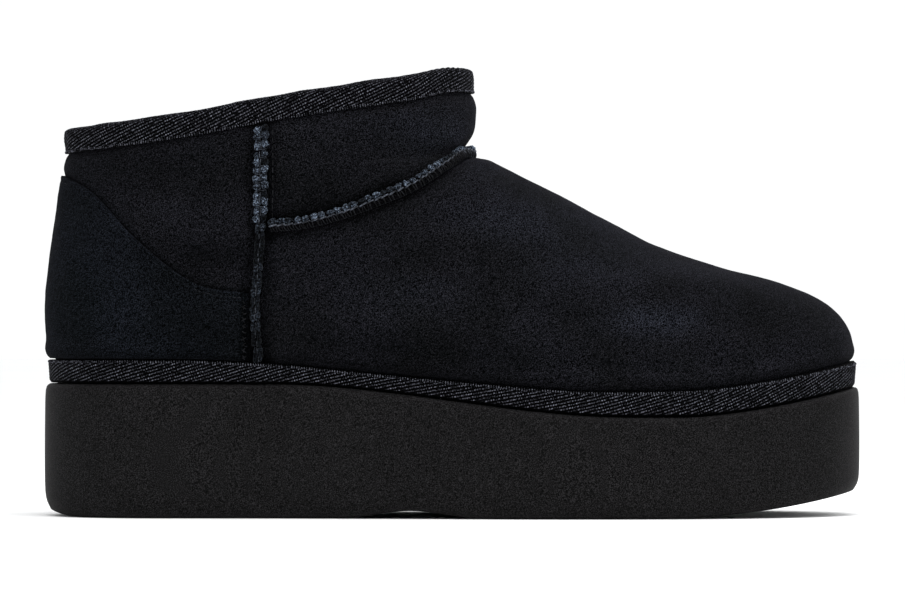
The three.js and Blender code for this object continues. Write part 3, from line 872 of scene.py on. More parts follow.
def tape_material(name):
    """Twill tape: the ribs are in the mesh, and each rib's beads and yarns are bump and colour; the colour
    paints shade into the grooves and light onto the crests and beads.
    """
    material, tree = new_material(name)
    bead = attribute(tree, "bead")
    dark, middle, light = (0.0003, 0.0003, 0.0004), (0.005, 0.005, 0.006), (0.027, 0.0275, 0.032)
    colour = multiply(
        tree,
        # Painted shade in the grooves between ribs and painted highlight on their crests and on the beads
        ramp(tree, attribute(tree, "rib"), (0.2, dark), (0.55, middle), (0.95, light)),
        ramp(tree, noise_node(tree, 0.5, 1.0, 0.7), (0.4, 0.03), (0.52, 0.8), (0.64, (4.6, 4.6, 4.65))),
        ramp(tree, bead, (0.2, 0.12), (0.95, (2.0, 2.0, 2.05))),
    )
    finish(
        tree, colour, (bead, 0.15, 0.7), (noise_node(tree, 0.3, 2.0, 0.6), 0.08, 0.6),
        roughness=0.8, specular=0.015, sheen=0.003, sheen_tint=(0.85, 0.88, 1.0),
    )
    return material


def thread_material(name, dark, light):
    material, tree = new_material(name)
    strands = noise_node(tree, 0.25, 2.0, 0.6)
    glints = ramp(tree, noise_node(tree, 1.3, 2.0, 0.6), (0.4, 0.25), (0.62, 1.7))
    finish(
        tree, multiply(tree, ramp(tree, strands, (0.3, dark), (0.7, light)), glints), (strands, 0.08, 0.7),
        roughness=0.6, specular=0.1, sheen=0.005, sheen_tint=(0.85, 0.9, 1.0),
    )
    return material


def foam_material(name):
    """Moulded foam: warm black, matt, with tiny pits painted darker as shade, and a faint speckle."""
    material, tree = new_material(name)
    pits = cell_node(tree, PIT_SPACING)
    dark, middle, light = (0.0003, 0.0003, 0.0003), (0.0038, 0.0036, 0.0039), (0.0235, 0.0225, 0.0236)
    colour = multiply(
        tree,
        ramp(tree, noise_node(tree, 0.32, 1.0, 0.7), (0.36, dark), (0.5, middle), (0.64, light)),
        ramp(tree, noise_node(tree, 12), (0.3, 0.9), (0.7, 1.08)),
        # Pits painted darker, as shade in them
        ramp(tree, pits, (0.05, 0.25), (0.1, 1)),
    )
    pit_height = ramp(tree, pits, (0.04, 0), (0.12, 1))
    finish(
        tree, colour, (pit_height, 0.25, 0.8), (noise_node(tree, 0.4, 2.0, 0.6), 0.06, 0.5),
        roughness=0.6, specular=0.035,
    )
    return material


suede = suede_material("suede_nap", (1.0, 1.0, 1.0), 0.014)
counter_leather = suede_material("counter_suede_nap", (0.74, 0.84, 0.88), 0.01)
lining_wool = wool_material("lining_wool", (0.0035, 0.004, 0.0055), (0.05, 0.058, 0.075), 0.12)
seam_wool = seam_wool_material("seam_wool")
tape_cloth = tape_material("tape_twill")
seam_thread = thread_material("seam_thread", (0.003, 0.0034, 0.0045), (0.085, 0.095, 0.118))
dark_thread = thread_material("dark_thread", (0.0006, 0.0006, 0.0008), (0.014, 0.0145, 0.018))
foam = foam_material("platform_foam_skin")


# The upper

# Soft folds on the suede: x and z of both ends in millimetres, width, depth, side (-1 is outer)
FOLDS = (
    (44, 90, 64, 86, 5.0, -0.9, -1),
    (40, 99, 66, 94, 6.0, 0.6, -1),
    (20, 116, 66, 110, 9.0, -0.5, -1),
    (84, 118, 128, 126, 7.0, 0.5, -1),
    (86, 108, 120, 115, 7.0, -0.5, -1),
    (82, 90, 96, 62, 7.0, -0.6, -1),
    (96, 96, 118, 66, 9.0, 0.5, -1),
    (128, 104, 146, 74, 10.0, -0.5, -1),
    (150, 100, 176, 78, 11.0, 0.5, -1),
    (188, 84, 206, 60, 10.0, -0.45, -1),
    (210, 78, 232, 58, 10.0, 0.4, -1),
    (42, 92, 66, 84, 6.0, -0.8, 1),
    (30, 112, 66, 108, 9.0, -0.5, 1),
    (84, 92, 100, 60, 8.0, -0.7, 1),
    (106, 94, 130, 62, 10.0, 0.6, 1),
    (140, 98, 158, 64, 10.0, -0.6, 1),
    (176, 86, 198, 60, 11.0, 0.4, 1),
)
# The width over which a fold fades across the middle, and how softly it ends, in its own widths
FOLD_SIDE_BLEND = 16
FOLD_END_REACH = 1.6


def fold_relief(points):
    relief = np.zeros(points.shape[:-1])
    x, y, z = points[..., 0], points[..., 1], points[..., 2]
    for x0, z0, x1, z1, width, depth, side in FOLDS:
        length = np.hypot(x1 - x0, z1 - z0)
        along = ((x - x0) * (x1 - x0) + (z - z0) * (z1 - z0)) / length
        away = ((x - x0) * (z1 - z0) - (z - z0) * (x1 - x0)) / length
        past = np.maximum(0, np.maximum(-along, along - length))
        on_side = smooth(0.5 + side * (y - centre_line(x)) / FOLD_SIDE_BLEND)
        relief += depth * on_side * bump_at(away, 0, width) * bump_at(past, 0, FOLD_END_REACH * width)
    return relief


# How the suede stands at its seams and tapes: forms of (height, distance at the crest, width)
SEAM_DRAW = (-1.0, 0.0, 3.0)
SEAM_PUFF = (0.7, 7.5, 4.2)
SEAM_PUCKER = (0.3, 4.2, 2.6)
SEAM_HOLD = (1.0, 0.0, 4.0)
COUNTER_DRAW = (-0.35, 0.0, 1.3)
SOLE_TAPE_BULGE = (1.0, 3.4, 2.7)
SOLE_TAPE_TUCK = (-0.8, 0.0, 0.9)
COLLAR_PINCH = (-0.85, -0.7, 1.4)
COLLAR_SWELL = (0.75, 4.8, 3.4)
# Forms by x, and across the boot from its middle
WAIST_BULGE = (1.1, 120, 45)
INSTEP_FULLNESS = (1.1, 170, 38)
INSTEP_TAUTNESS = (0.75, 0.0, 14.0)
# Where the forms of the instep set in, as (start, reach): by x, by z, and by the distance from the seam
TAUT_X = (144, 4)
FULL_X = (140, 8)
FULL_LOW_Z = (76, 18)
FULL_HIGH_Z = (127, -5)
FULL_AWAY = (3, 6)
# Unevenness as layers of (height, size, seed)
SUEDE_UNEVEN = ((0.3, 17, 1), (0.14, 7, 2), (0.04, 1.6, 3))


def above_sole_tape(points):
    return points[..., 2] - tape_level(points[..., 0], 1)


def below_collar_tape(points):
    return collar_line(points[..., 0]) - COLLAR_TAPE_HEIGHT - points[..., 2]


def suede_relief(points):
    """How far the suede stands off the plain last, in millimetres."""
    x, z = points[..., 0], points[..., 2]
    relief = fold_relief(points)
    seam_away = np.full(x.shape, np.inf)
    pucker = noise(points * np.array([0.35, 0.6, 1.0]), 3.2, 5)
    # Over the crest of the instep the suede lies taut ahead of the vamp seam
    taut = swell(INSTEP_TAUTNESS, points[..., 1] - centre_line(x)) * ease(x, *TAUT_X)
    for path in SEAMS:
        away = distance_to(points, path)
        seam_away = np.minimum(seam_away, away)
        slack = 1 - taut if path is vamp_seam else 1.0
        relief += slack * (swell(SEAM_DRAW, away) + swell(SEAM_PUFF, away))
        relief += pucker * swell(SEAM_PUCKER, away)
    relief += swell(COUNTER_DRAW, distance_to(points, counter_edge))
    # The instep is full along its crest, ahead of the vamp seam and below the collar
    crest = swell(INSTEP_FULLNESS, x) * ease(x, *FULL_X) * ease(z, *FULL_LOW_Z) * ease(z, *FULL_HIGH_Z)
    relief += crest * ease(distance_to(points, vamp_seam), *FULL_AWAY)
    # It bulges over the sole's tape, most at the waist, and tucks in behind it
    above = above_sole_tape(points)
    bulge = (1 + swell(WAIST_BULGE, x)) * swell(SOLE_TAPE_BULGE, above)
    relief += bulge * (1 - swell(SEAM_HOLD, seam_away)) + swell(SOLE_TAPE_TUCK, above)
    # The collar's tape pinches it, and it swells out below
    below = below_collar_tape(points)
    relief += swell(COLLAR_PINCH, below) + swell(COLLAR_SWELL, below) + layered(points, SUEDE_UNEVEN)
    # Nothing rises where a tape lies on it
    hidden = np.clip(np.maximum(-above, -below - 0.6), 0, 1)
    return lerp(relief, np.minimum(relief, -0.5), hidden)


# Patches where the nap's tone is lighter or darker, partly brushed nap and partly painted light, as painted
# sheen and painted shade: x, z, reach along, reach up, strength
NAP_AND_PAINTED_LIGHT_PATCHES = (
    (136, 125, 11, 9, 0.5),
    (120, 130, 14, 6, 0.2),
    (158, 98, 26, 9, 0.35),
    (206, 66, 16, 5, 0.7),
    (176, 84, 22, 8, 0.25),
    (124, 76, 16, 9, 0.25),
    (22, 72, 15, 11, 0.08),
    (46, 108, 18, 10, 0.05),
    (55, 87, 14, 5, -0.6),
    (104, 112, 14, 6, -0.2),
    (34, 116, 26, 9, -0.25),
    (130, 88, 26, 8, -0.25),
    (88, 104, 12, 8, -0.35),
    (110, 56, 26, 7, -0.45),
    (150, 52, 30, 7, -0.3),
    (52, 58, 16, 8, -0.3),
    (228, 70, 16, 12, -0.15),
)
# Painted shade: how the nap's tone darkens with the distance from a seam, the counter's edge and the tapes
SEAM_SHADE = (-0.25, 3.0, 2.6)
EDGE_SHADE = (-0.4, 0.3, 1.1)
SOLE_TAPE_SHADE = (-0.22, 0.0, 3.0)
COLLAR_SHADE = (-0.15, 0.0, 2.0)


def nap_tone_and_painted_light(points):
    """How light the nap's tone is, 0.5 where it is plain, with brushed patches, painted sheen and painted
    shade.
    """
    x, z = points[..., 0], points[..., 2]
    tone = np.full(x.shape, 0.5)
    for at_x, at_z, along, up, strength in NAP_AND_PAINTED_LIGHT_PATCHES:
        tone += 0.5 * strength * bump_at(x, at_x, along) * bump_at(z, at_z, up)
    for path in SEAMS:
        tone += swell(SEAM_SHADE, distance_to(points, path))
    tone += swell(EDGE_SHADE, distance_to(points, counter_edge))
    tone += swell(SOLE_TAPE_SHADE, above_sole_tape(points)) + swell(COLLAR_SHADE, below_collar_tape(points))
    return np.clip(tone, 0, 1)


def build_upper():
    columns, rows, inside_rows = 440, 172, 26
    turn = np.arange(columns)[None, :] / columns
    rise = np.linspace(0, 1, rows)[:, None]
    plain = surface(turn, rise)
    outside = plain + normals(turn, rise) * suede_relief(plain)[..., None]
    inside = off_surface(turn, np.linspace(1, 0, inside_rows)[:, None], -WALL)
    inside[0, :, 2] = plain[-1, :, 2]
    inside[-1, :, 2] = seat_height(inside[-1, :, 0]) + GAP
    rings = np.concatenate([outside, inside])
    ring_pile(rings, brushed=nap_tone_and_painted_light(rings)).build("upper_suede", suede, "suede", "upper")


# How far below the collar's edge the lining ends, and the share of the insole's thickness where it starts
LINING_TOP = 2.0
LINING_FOOT = 0.6
# About the length around the upper in millimetres, which its turns are measured by for the tufts
AROUND_LENGTH = 560
# Where the lining's back and the foot of its wool lie, inside the wall, and the least length of the wool
LINING_GAP = 0.25
LINING_BODY = 0.7
LINING_WOOL = 1.2
LINING_TUFTS = ((2.4, 4.8, 11), (1.5, 3.0, 21))
LINING_FIBRES = ((0.6, 1.8, 25),)


def build_lining():
    """Wool on the inside, from the collar's tape down to the insole."""
    columns, rows = 380, 110
    turn = np.arange(columns)[None, :] / columns
    top = rise_at_height(turn, surface(turn, 1.0)[..., 2] - LINING_TOP)
    foot = rise_at_height(turn, seat_height(surface(turn, 0.0)[..., 0]) + INSOLE_THICKNESS * LINING_FOOT)
    share = np.linspace(0, 1, rows)[:, None]
    rise = lerp(foot, top, share)
    plain = surface(turn, rise)
    wool = LINING_WOOL + tufted(turn * AROUND_LENGTH, plain[..., 2], LINING_TUFTS)
    wool += layered(plain, LINING_FIBRES)
    wool *= 0.35 + 0.65 * smooth(share / 0.08) * smooth((1 - share) / 0.03)
    normal = normals(turn, rise)
    face = plain - normal * (WALL + LINING_BODY + wool)[..., None]
    back = plain - normal * (WALL + LINING_GAP)
    ring_pile(np.concatenate([back[::10], face[::-1]])).build("wool_lining", lining_wool, "wool")


# Tapes

TWILL_PITCH = 1.1
TWILL_SLOPE = np.tan(np.radians(17))
RIB_HEIGHT = 0.34
TAPE_BODY = 1.0
BEAD_PITCH = 0.8


def even_turns(rise, count):
    """Turns that lie at equal steps along a ring, with the length up to each and of them all."""
    fine = np.linspace(0, 1, 4001)
    length = running_length(surface(fine, rise))
    at = np.arange(count) / count * length[-1]
    return np.interp(at, length, fine), at, length[-1]


def weave(u, v):
    """Twill ribs and their beads, from 0 to 1, at u along the tape and v across it in millimetres."""
    phase = (v - u * TWILL_SLOPE) / TWILL_PITCH
    rib = 0.5 + 0.5 * np.cos(2 * np.pi * phase)
    row = np.floor(phase + 0.5)
    bead = 0.5 + 0.5 * np.cos(2 * np.pi * (u / BEAD_PITCH + 0.5 * (row % 2)))
    return rib, bead


def collar_tape_off(share):
    """How far the collar's tape stands off the wall, from its lower edge to the collar's edge."""
    return lerp(0.5, GAP + COLLAR_TAPE_THICKNESS - RIB_HEIGHT / 2, smooth(share * 1.2))


def collar_waver(points):
    """The tape isn't drawn quite even: it wavers over the wool that it binds."""
    return layered(points, ((0.32, 11, 81), (0.12, 3.5, 82)))


def sole_waver(points):
    """The sole's tape wavers less, but rides up where a side seam ends under it."""
    seam_end = (0.6, outer_seam.points[0, 0], 4.5)
    return layered(points, ((0.2, 12, 91), (0.08, 3.5, 92))) + swell(seam_end, points[..., 0])


def tape_pile(face, back, rib, bead):
    """A closed tape, from its woven face and its plain back."""
    plain = np.zeros(back.shape[:2])
    return ring_pile(
        np.concatenate([face, back]), rib=np.concatenate([rib, plain]), bead=np.concatenate([bead, plain]),
    )


def build_collar_tape():
    columns, leg_rows, top_rows, inside_rows = 820, 46, 20, 16
    turn, u, _ = even_turns(1.0, columns)
    rim = surface(turn, 1.0)
    outer = collar_tape_off(1.0)

    def ring(down, off):
        """A ring at a share of the tape's height below the collar's edge."""
        return off_surface(turn, rise_at_height(turn, rim[:, 2] - COLLAR_TAPE_HEIGHT * down), off)

    # Outer leg, from its lower edge up
    face, across = [], []
    for share in np.linspace(0, 1, leg_rows, endpoint=False):
        face.append(ring(1 - share, collar_tape_off(share)))
        across.append(share * COLLAR_TAPE_HEIGHT)
    # Over the edge
    flat = unit(normals(turn, 1.0) * np.array([1, 1, 0]))
    middle = rim - flat * (WALL / 2)
    reach = WALL / 2 + outer
    for angle in np.linspace(0, np.pi, top_rows):
        face.append(middle + flat * (np.cos(angle) * reach) + np.array([0, 0, np.sin(angle) * outer]))
        across.append(COLLAR_TAPE_HEIGHT + angle / np.pi * (2 * reach))
    # Inner leg
    for share in np.linspace(0, 1, inside_rows)[1:]:
        face.append(ring(share, -WALL - outer))
        across.append(COLLAR_TAPE_HEIGHT * (1 + share) + 2 * reach)
    face, v = np.stack(face), np.array(across)[:, None]
    rib, bead = weave(u, v)
    outward = unit(np.cross(np.gradient(face, axis=1), np.gradient(face, axis=0)))
    ribbed = ease(v, LOOP_HEIGHT - 0.2, RIB_FADE)
    face = face + outward * ((rib - 0.5) * RIB_HEIGHT * ribbed + collar_waver(face))[..., None]
    # The side that lies on the wall
    down = np.linspace(0, 1, 6)[1:]
    back = np.stack(
        [ring(share, -WALL - GAP) for share in down[::-1]]
        + [middle + side * flat * (WALL / 2 + GAP) + np.array([0, 0, GAP / 2]) for side in (-1, 1)]
        + [ring(share, collar_tape_off(1 - share) - TAPE_BODY) for share in down]
    )
    tape_pile(face, back, rib * ribbed, bead).build("collar_tape", tape_cloth, "tape", "collar_binding")


def build_sole_tape():
    columns, rows = 1500, 34
    turn, u, _ = even_turns(SOLE_TAPE_RISE, columns)
    foot_x = surface(turn, 0.0)[:, 0]

    def ring(share, off):
        """A ring at a share of the tape's height."""
        points = off_surface(turn, rise_at_height(turn, tape_level(foot_x, share)), off)
        points[:, 2] = tape_level(points[:, 0], share)
        return points

    shares = np.linspace(0, 1, rows)
    rounding = 0.5 * (bump_at(shares, 0, 0.07) + bump_at(shares, 1, 0.06))
    off = GAP + SOLE_TAPE_THICKNESS - RIB_HEIGHT / 2 - rounding
    face = np.stack([ring(*place) for place in zip(shares, off)])
    v = shares[:, None] * SOLE_TAPE_HEIGHT * read_table(TAPE_SHOW, foot_x / SOLE_LENGTH)
    rib, bead = weave(u, v)
    ribbed = ease(v[-1:] - v, LOOP_HEIGHT - 0.2, RIB_FADE) * ease(v, 0.3, 0.7)
    lift = (rib - 0.5) * RIB_HEIGHT * ribbed + sole_waver(face)
    face = face + normals(turn, SOLE_TAPE_RISE) * lift[..., None]
    back = np.stack([ring(share, GAP) for share in np.linspace(1, 0, 4)])
    pile = tape_pile(face, back, rib * ribbed + 0.25 * (1 - ribbed), bead * ribbed)
    pile.build("sole_tape", tape_cloth, "tape", "sole_binding")


LOOP_PITCH = 0.85
LOOP_HEIGHT = 0.85
LOOP_RADIUS = 0.22
# The rises whose normals the loops and the sole's tape follow; on the sole they also set the spacing
COLLAR_LOOP_RISE = 0.96
SOLE_LOOP_RISE = 0.05
SOLE_TAPE_RISE = 0.04
# The length over which the ribs set in behind the loops
RIB_FADE = 0.4
LOOP_ARCH = 0.2


def loop_row(name, ring_rise, place_ends):
    """The selvedge of a tape: a row of short upright loops of yarn."""
    _, _, length = even_turns(ring_rise, 1)
    turn, _, _ = even_turns(ring_rise, int(length / LOOP_PITCH))
    step = np.linspace(0, 1, 5)[:, None]
    arch = np.sin(np.pi * step)
    pile = Pile()
    for low, high, outward in zip(*place_ends(turn)):
        path = lerp(low, high, step) + outward * (LOOP_ARCH * arch)
        # The loops are painted light, as the lit crests of ribs
        tube(pile, path, LOOP_RADIUS * (0.7 + 0.4 * arch[:, 0]), rib=0.85, bead=0.7)
    pile.build(name, tape_cloth, "tape")


def loop_ends(turn, rise, low, high, low_off, high_off, waver):
    """Both ends of each loop of a selvedge, and the way out from the wall."""
    lower = off_surface(turn, rise_at_height(turn, low), low_off)
    upper = off_surface(turn, rise_at_height(turn, high), high_off)
    outward = normals(turn, rise)
    shift = outward * waver(lower)[:, None]
    return lower + shift, upper + shift, outward


def collar_loop_ends(turn):
    low = surface(turn, 1.0)[:, 2] - COLLAR_TAPE_HEIGHT
    off = collar_tape_off(0.05)
    return loop_ends(turn, COLLAR_LOOP_RISE, low + 0.05, low + LOOP_HEIGHT, off, off, collar_waver)


def sole_loop_ends(turn):
    top = tape_level(surface(turn, 0.0)[:, 0], 1)
    off = GAP + SOLE_TAPE_THICKNESS - 0.2
    return loop_ends(turn, SOLE_LOOP_RISE, top - LOOP_HEIGHT, top - 0.05, off, off - 0.2, sole_waver)


# Counter

# Forms by the distance from the counter's cut edge, in the row of stitches and at its upright ends
STITCH_DENT = (-0.25, STITCH_INSET, 0.5)
END_DENT = (-0.3, STITCH_INSET_FRONT, 0.6)
END_PUCKER = (0.3, STITCH_INSET_FRONT, 1.3)
COUNTER_UNEVEN = ((0.1, 6, 31), (0.05, 2.2, 32))


def build_counter():
    columns, rows = 300, 84
    share = np.linspace(-1, 1, columns)
    low, high = counter_bounds(share)
    step = np.linspace(0, 1, rows)[:, None]
    rise = lerp(low, high, step)
    turn = counter_turn(share, rise)
    plain = surface(turn, rise)
    # Distance from the cut edge, for its soft roll and the line of stitches pressed into it
    top_away = (1 - step) * np.linalg.norm(plain[-1] - plain[0], axis=-1)
    side_span = np.linalg.norm(np.diff(plain, axis=1), axis=-1).sum(axis=1)[:, None]
    side_away = (1 - np.abs(share)) * side_span / 2
    away = np.minimum(top_away, side_away)
    pucker = noise(plain * np.array([0.5, 0.5, 1.0]), 1.7, 33)
    thickness = COUNTER_THICKNESS * (0.8 + 0.2 * smooth(away / 0.5)) + GAP + layered(plain, COUNTER_UNEVEN)
    thickness += swell(STITCH_DENT, away) + swell(END_DENT, side_away) + pucker * swell(END_PUCKER, side_away)
    relief = suede_relief(plain)
    normal = normals(turn, rise)
    outer = plain + normal * (relief + thickness)[..., None]
    inner = plain + normal * (relief - 0.2)[..., None]
    # The counter doesn't take the painted shade that the suede has above its edge, and shows a paler line
    # along its cut edge; its upright ends are painted darker, with their puckers, as shade beside the side
    # seams
    tone = nap_tone_and_painted_light(plain) - swell(EDGE_SHADE, distance_to(plain, counter_edge))
    tone += 0.12 * bump_at(away, 0.3, 0.5)
    tone -= (0.22 + 0.16 * pucker) * (1 - ease(side_away, 1.8, 0.8))
    pile = Pile()
    sheet(pile, outer, inner, brushed=tone)
    pile.build("counter_suede", counter_leather, "counter_suede", "heel_counter")


def counter_line(inset, front_inset):
    """Turn and rise of the line inside the counter's cut edge, and of its two upright ends."""
    reach = 1 - front_inset / (COUNTER_FRONT * FOOT_LENGTH)
    share = np.linspace(-reach, reach, 1400)
    low, high = counter_bounds(share)
    edge = surface(counter_turn(share, high), high)
    lean = unit(np.gradient(edge, axis=0))[:, 2]
    height = edge[:, 2] - inset / np.sqrt(np.maximum(0.12, 1 - lean ** 2))
    rise = solve(
        lambda rise: surface(counter_turn(share, rise), rise)[:, 2] - height, share.shape, high=high,
    )
    runs = [(counter_turn(share, rise), rise)]
    for end in (0, -1):
        end_rise = np.linspace(low[end], rise[end], 200)
        runs.append((counter_turn(share[end], end_rise), end_rise))
    return runs


def build_counter_stitches():
    """One row of fine stitches just inside the counter's cut edge."""
    pile = Pile()
    pitch, length, end_pitch, end_length = 1.5, 0.95, 0.8, 0.9
    step = np.linspace(0, 1, 5)
    arch = np.sin(np.pi * step)
    top, *fronts = [
        SurfacePath(turn, rise, suede_relief(surface(turn, rise)) + GAP + COUNTER_THICKNESS)
        for turn, rise in counter_line(STITCH_INSET, STITCH_INSET_FRONT)
    ]
    for k, start in enumerate(np.arange(0.4, top.length - pitch, pitch)):
        slip = 0.06 * ((k * 7) % 5 - 2)
        tube(pile, top.place(start + length * step, slip, -0.32 + 0.14 * arch), COUNTER_THREAD)
    for front in fronts:
        for k, start in enumerate(np.arange(0.3, front.length - pitch, end_pitch)):
            slip, tilt, lift = draws((k,), 400, 3)
            lean = (1 if k % 2 else -1) * (0.65 + 0.9 * tilt)
            height = -0.36 + 0.3 * lift + 0.2 * arch
            run = front.place(start + slip + end_length * step, lean * (2 * step - 1), height)
            tube(pile, run, COUNTER_THREAD)
    pile.build("counter_stitches", dark_thread, "thread")


# Seams

NUB_PITCH = 2.75
SIDE_RIDGE_HEIGHT = 1.25
VAMP_RIDGE_HEIGHT = 1.9
RIDGE_STEP = 0.5
RIDGE_FOOT = 0.1
LINE_THREAD = 0.17
LINE_AHEAD = 3.9
CROSS_THREAD = 0.14
RUN_THREAD = 0.12
LINK_THREAD = 0.25
WRAP_THREAD = 0.14


def ridge(path, half_at, height_at, shift_at=np.zeros_like):
    """The rolled hide under a seam's wool and thread."""
    at = np.linspace(0, path.length, int(path.length / RIDGE_STEP))
    half, height, shift = half_at(at), height_at(at), shift_at(at)
    rows = [
        path.place(at, shift + np.cos(a) * half, lerp(RIDGE_FOOT, height, np.sin(a) ** 0.8))
        for a in np.linspace(0, np.pi, 13)
    ]
    section = np.stack([*rows, path.place(at, shift, RIDGE_FOOT)], axis=1)
    sides = section.shape[1]
    pile = Pile()
    # Painted shade: the rolled hide under the seam's wool and thread is darker than the plain suede
    pile.add(section, grid_faces(len(at), sides, wrap_columns=True)[:, ::-1], brushed=0.1)
    pile.faces.append(list(range(sides)))
    pile.faces.append([pile.count - 1 - k for k in range(sides)])
    return pile


def build_side_seam(name, path, node, seed):
    stops = np.linspace(0, path.length, 50)
    widening = ease(np.interp(stops, path.at, path.rises), SEAM_JUNCTION, JUNCTION_BLEND)

    def half_at(at):
        return lerp(SIDE_SEAM_FOOT_WIDTH, SIDE_SEAM_WIDTH, np.interp(at, stops, widening)) / 2

    core = ridge(path, lambda at: half_at(at) - 0.35, lambda at: SIDE_RIDGE_HEIGHT)
    core.build(name + "_core", suede, "suede", node)
    wool, thread = Pile(), Pile()
    count = round(path.length / NUB_PITCH)
    pitch = path.length / count
    for k in range(count):
        for side in (-1, 1):
            draw = draws((k, side), seed, 4)
            at = (k + 0.5 + 0.1 * side + 0.3 * draw[0]) * pitch
            half = half_at(at)
            size = half / (SIDE_SEAM_WIDTH / 2)
            wide = ease(size, 0.65, 0.35)
            across = side * (half - 1.05 * size) + 0.3 * draw[1]
            centre = path.place(at, across, SIDE_RIDGE_HEIGHT + 0.3 * draw[2])
            long = lerp(1.75, 1.35 + 0.5 * draw[3], wide)
            radii = ((1.2 + 0.3 * draw[0]) * size, long, 1.2 * (1 + 0.4 * draw[1]))
            # Painted highlight: nubs that stand higher are lighter, and they darken where the seam narrows to
            # its foot
            glow = np.clip(0.4 + 1.3 * draw[2], 0.03, 1) * lerp(0.2, 1.0, wide)
            blob(wool, centre, path.axes(at), radii, seed * 100 + 2 * k + (side > 0), glow=glow)
        # The thread crosses between two nubs where the seam is wide, and runs on along the middle
        at = (k + 1.0) * pitch
        half = half_at(at)
        if k < count - 1 and half > 0.45 * SIDE_SEAM_WIDTH:
            share = np.linspace(-1, 1, 9)
            height = SIDE_RIDGE_HEIGHT + 0.5 * np.sqrt(1 - share ** 2)
            tube(thread, path.place(at + 0.3 * share, share * half * 0.8, height), CROSS_THREAD)
        along = np.linspace(0, 1, 6)
        run = at - pitch * (0.95 + 0.1 * draw[0]) + along * pitch * (0.8 + 0.3 * draw[3])
        height = lerp(1.8, 2.05, ease(half, 1.5, 0.8)) + 0.2 * np.sin(np.pi * along)
        tube(thread, path.place(run, 0.15 * (-1) ** k + 0.3 * draw[1], height), RUN_THREAD)
    wool.build(name + "_wool", seam_wool, "thread")
    thread.build(name + "_thread", seam_thread, "thread")


# How much higher the vamp seam stands over the crest of the instep, and how far it leans to the toe
CREST_LIFT = 1.0
CREST_LEAN = 1.1


def crest_share(at):
    """How near a place on the vamp seam is to the crest of the instep, from 0 to 1."""
    return bump_at(at, vamp_seam.length / 2, 20)


def build_vamp_seam():
    half = VAMP_SEAM_WIDTH / 2
    down = toe_side(vamp_seam)
    core = ridge(
        vamp_seam, lambda at: half - 0.3, lambda at: VAMP_RIDGE_HEIGHT + CREST_LIFT * crest_share(at),
        lambda at: down * CREST_LEAN * crest_share(at),
    )
    core.build("vamp_seam_roll", suede, "suede", "vamp_seam")
    count = round(vamp_seam.length / NUB_PITCH)
    pitch = vamp_seam.length / count
    wool, thread, wraps = Pile(), Pile(), Pile()
    for k in range(count):
        draw = [draws((k, n), 77, 1)[0] for n in range(4)]
        at = (k + 0.5 + 0.25 * draw[0]) * pitch
        lifted = CREST_LIFT * crest_share(at)
        lean_over = CREST_LEAN * crest_share(at)
        across = -down * (half - 1.1 + 0.25 * draw[1] - lean_over)
        centre = vamp_seam.place(at, across, 1.4 + 0.3 * draw[2] + lifted)
        radii = (1.15 + 0.3 * draw[2], 1.4 + 0.4 * draw[3], 1.1 * (1 + 0.3 * draw[0]))
        # Painted highlight: nubs that stand higher and are larger are lighter
        glow = np.clip(0.45 + 1.4 * draw[2], 0.06, 1)
        blob(wool, centre, vamp_seam.axes(at), radii, 500 + k, glow=glow)
        # The middle line: one slanting link for each nub
        share = np.linspace(0, 1, 7)
        link = vamp_seam.place(
            at + pitch * (share - 0.5) * 0.95, -down * (0.1 + 0.4 * (share - 0.5) - lean_over),
            2.0 + 0.4 * np.sin(np.pi * share) + lifted,
        )
        tube(thread, link, LINK_THREAD + 0.06 * draw[3], sides=6)
        # Fine wraps over the rolled edge, each laid a little differently
        for n, shift in enumerate((-0.8, 0.1, 1.0)):
            slip, lean, lift = draws((k, n), 300, 3)
            reach = np.linspace(0, 1, 8)
            angle = reach * np.pi * (0.44 + 0.04 * lifted + 0.05 * lift)
            wrap = vamp_seam.place(
                at + shift + 0.9 * slip + (0.5 + 1.6 * lean) * reach,
                down * (0.1 + lean_over + (half - 0.35) * np.sin(angle)),
                0.2 + (1.85 + 0.35 * lift + lifted) * np.cos(angle) ** 0.8,
            )
            # Over the crest some of them are of the light thread, as a painted highlight where they catch the
            # light
            light = lifted > 0.5 and n == 1
            tube(thread if light else wraps, wrap, WRAP_THREAD + 0.06 * lean)
    wool.build("vamp_seam_wool", seam_wool, "thread")
    thread.build("vamp_seam_thread", seam_thread, "thread")
    wraps.build("vamp_seam_wraps", dark_thread, "thread")


def toe_side(path):
    """Which way across a seam points to the toe."""
    return 1.0 if path.axes(path.length / 2)[0][0] > 0 else -1.0


def build_stitch_line(name, path):
    """A line of flat stitches just ahead of the side seam, above the vamp seam."""
    pile = Pile()
    ahead = LINE_AHEAD * toe_side(path)
    pitch, length = 2.5, 1.6
    start = np.interp(SEAM_JUNCTION + 0.03, path.rises, path.at)
    step = np.linspace(0, 1, 5)
    for at in np.arange(start, path.length - pitch, pitch):
        run = at + length * step
        lift = suede_relief(path.place(run, ahead)) - 0.05 + 0.15 * np.sin(np.pi * step)
        tube(pile, path.place(run, ahead, lift), LINE_THREAD)
    pile.build(name, dark_thread, "thread")


# Platform and insole

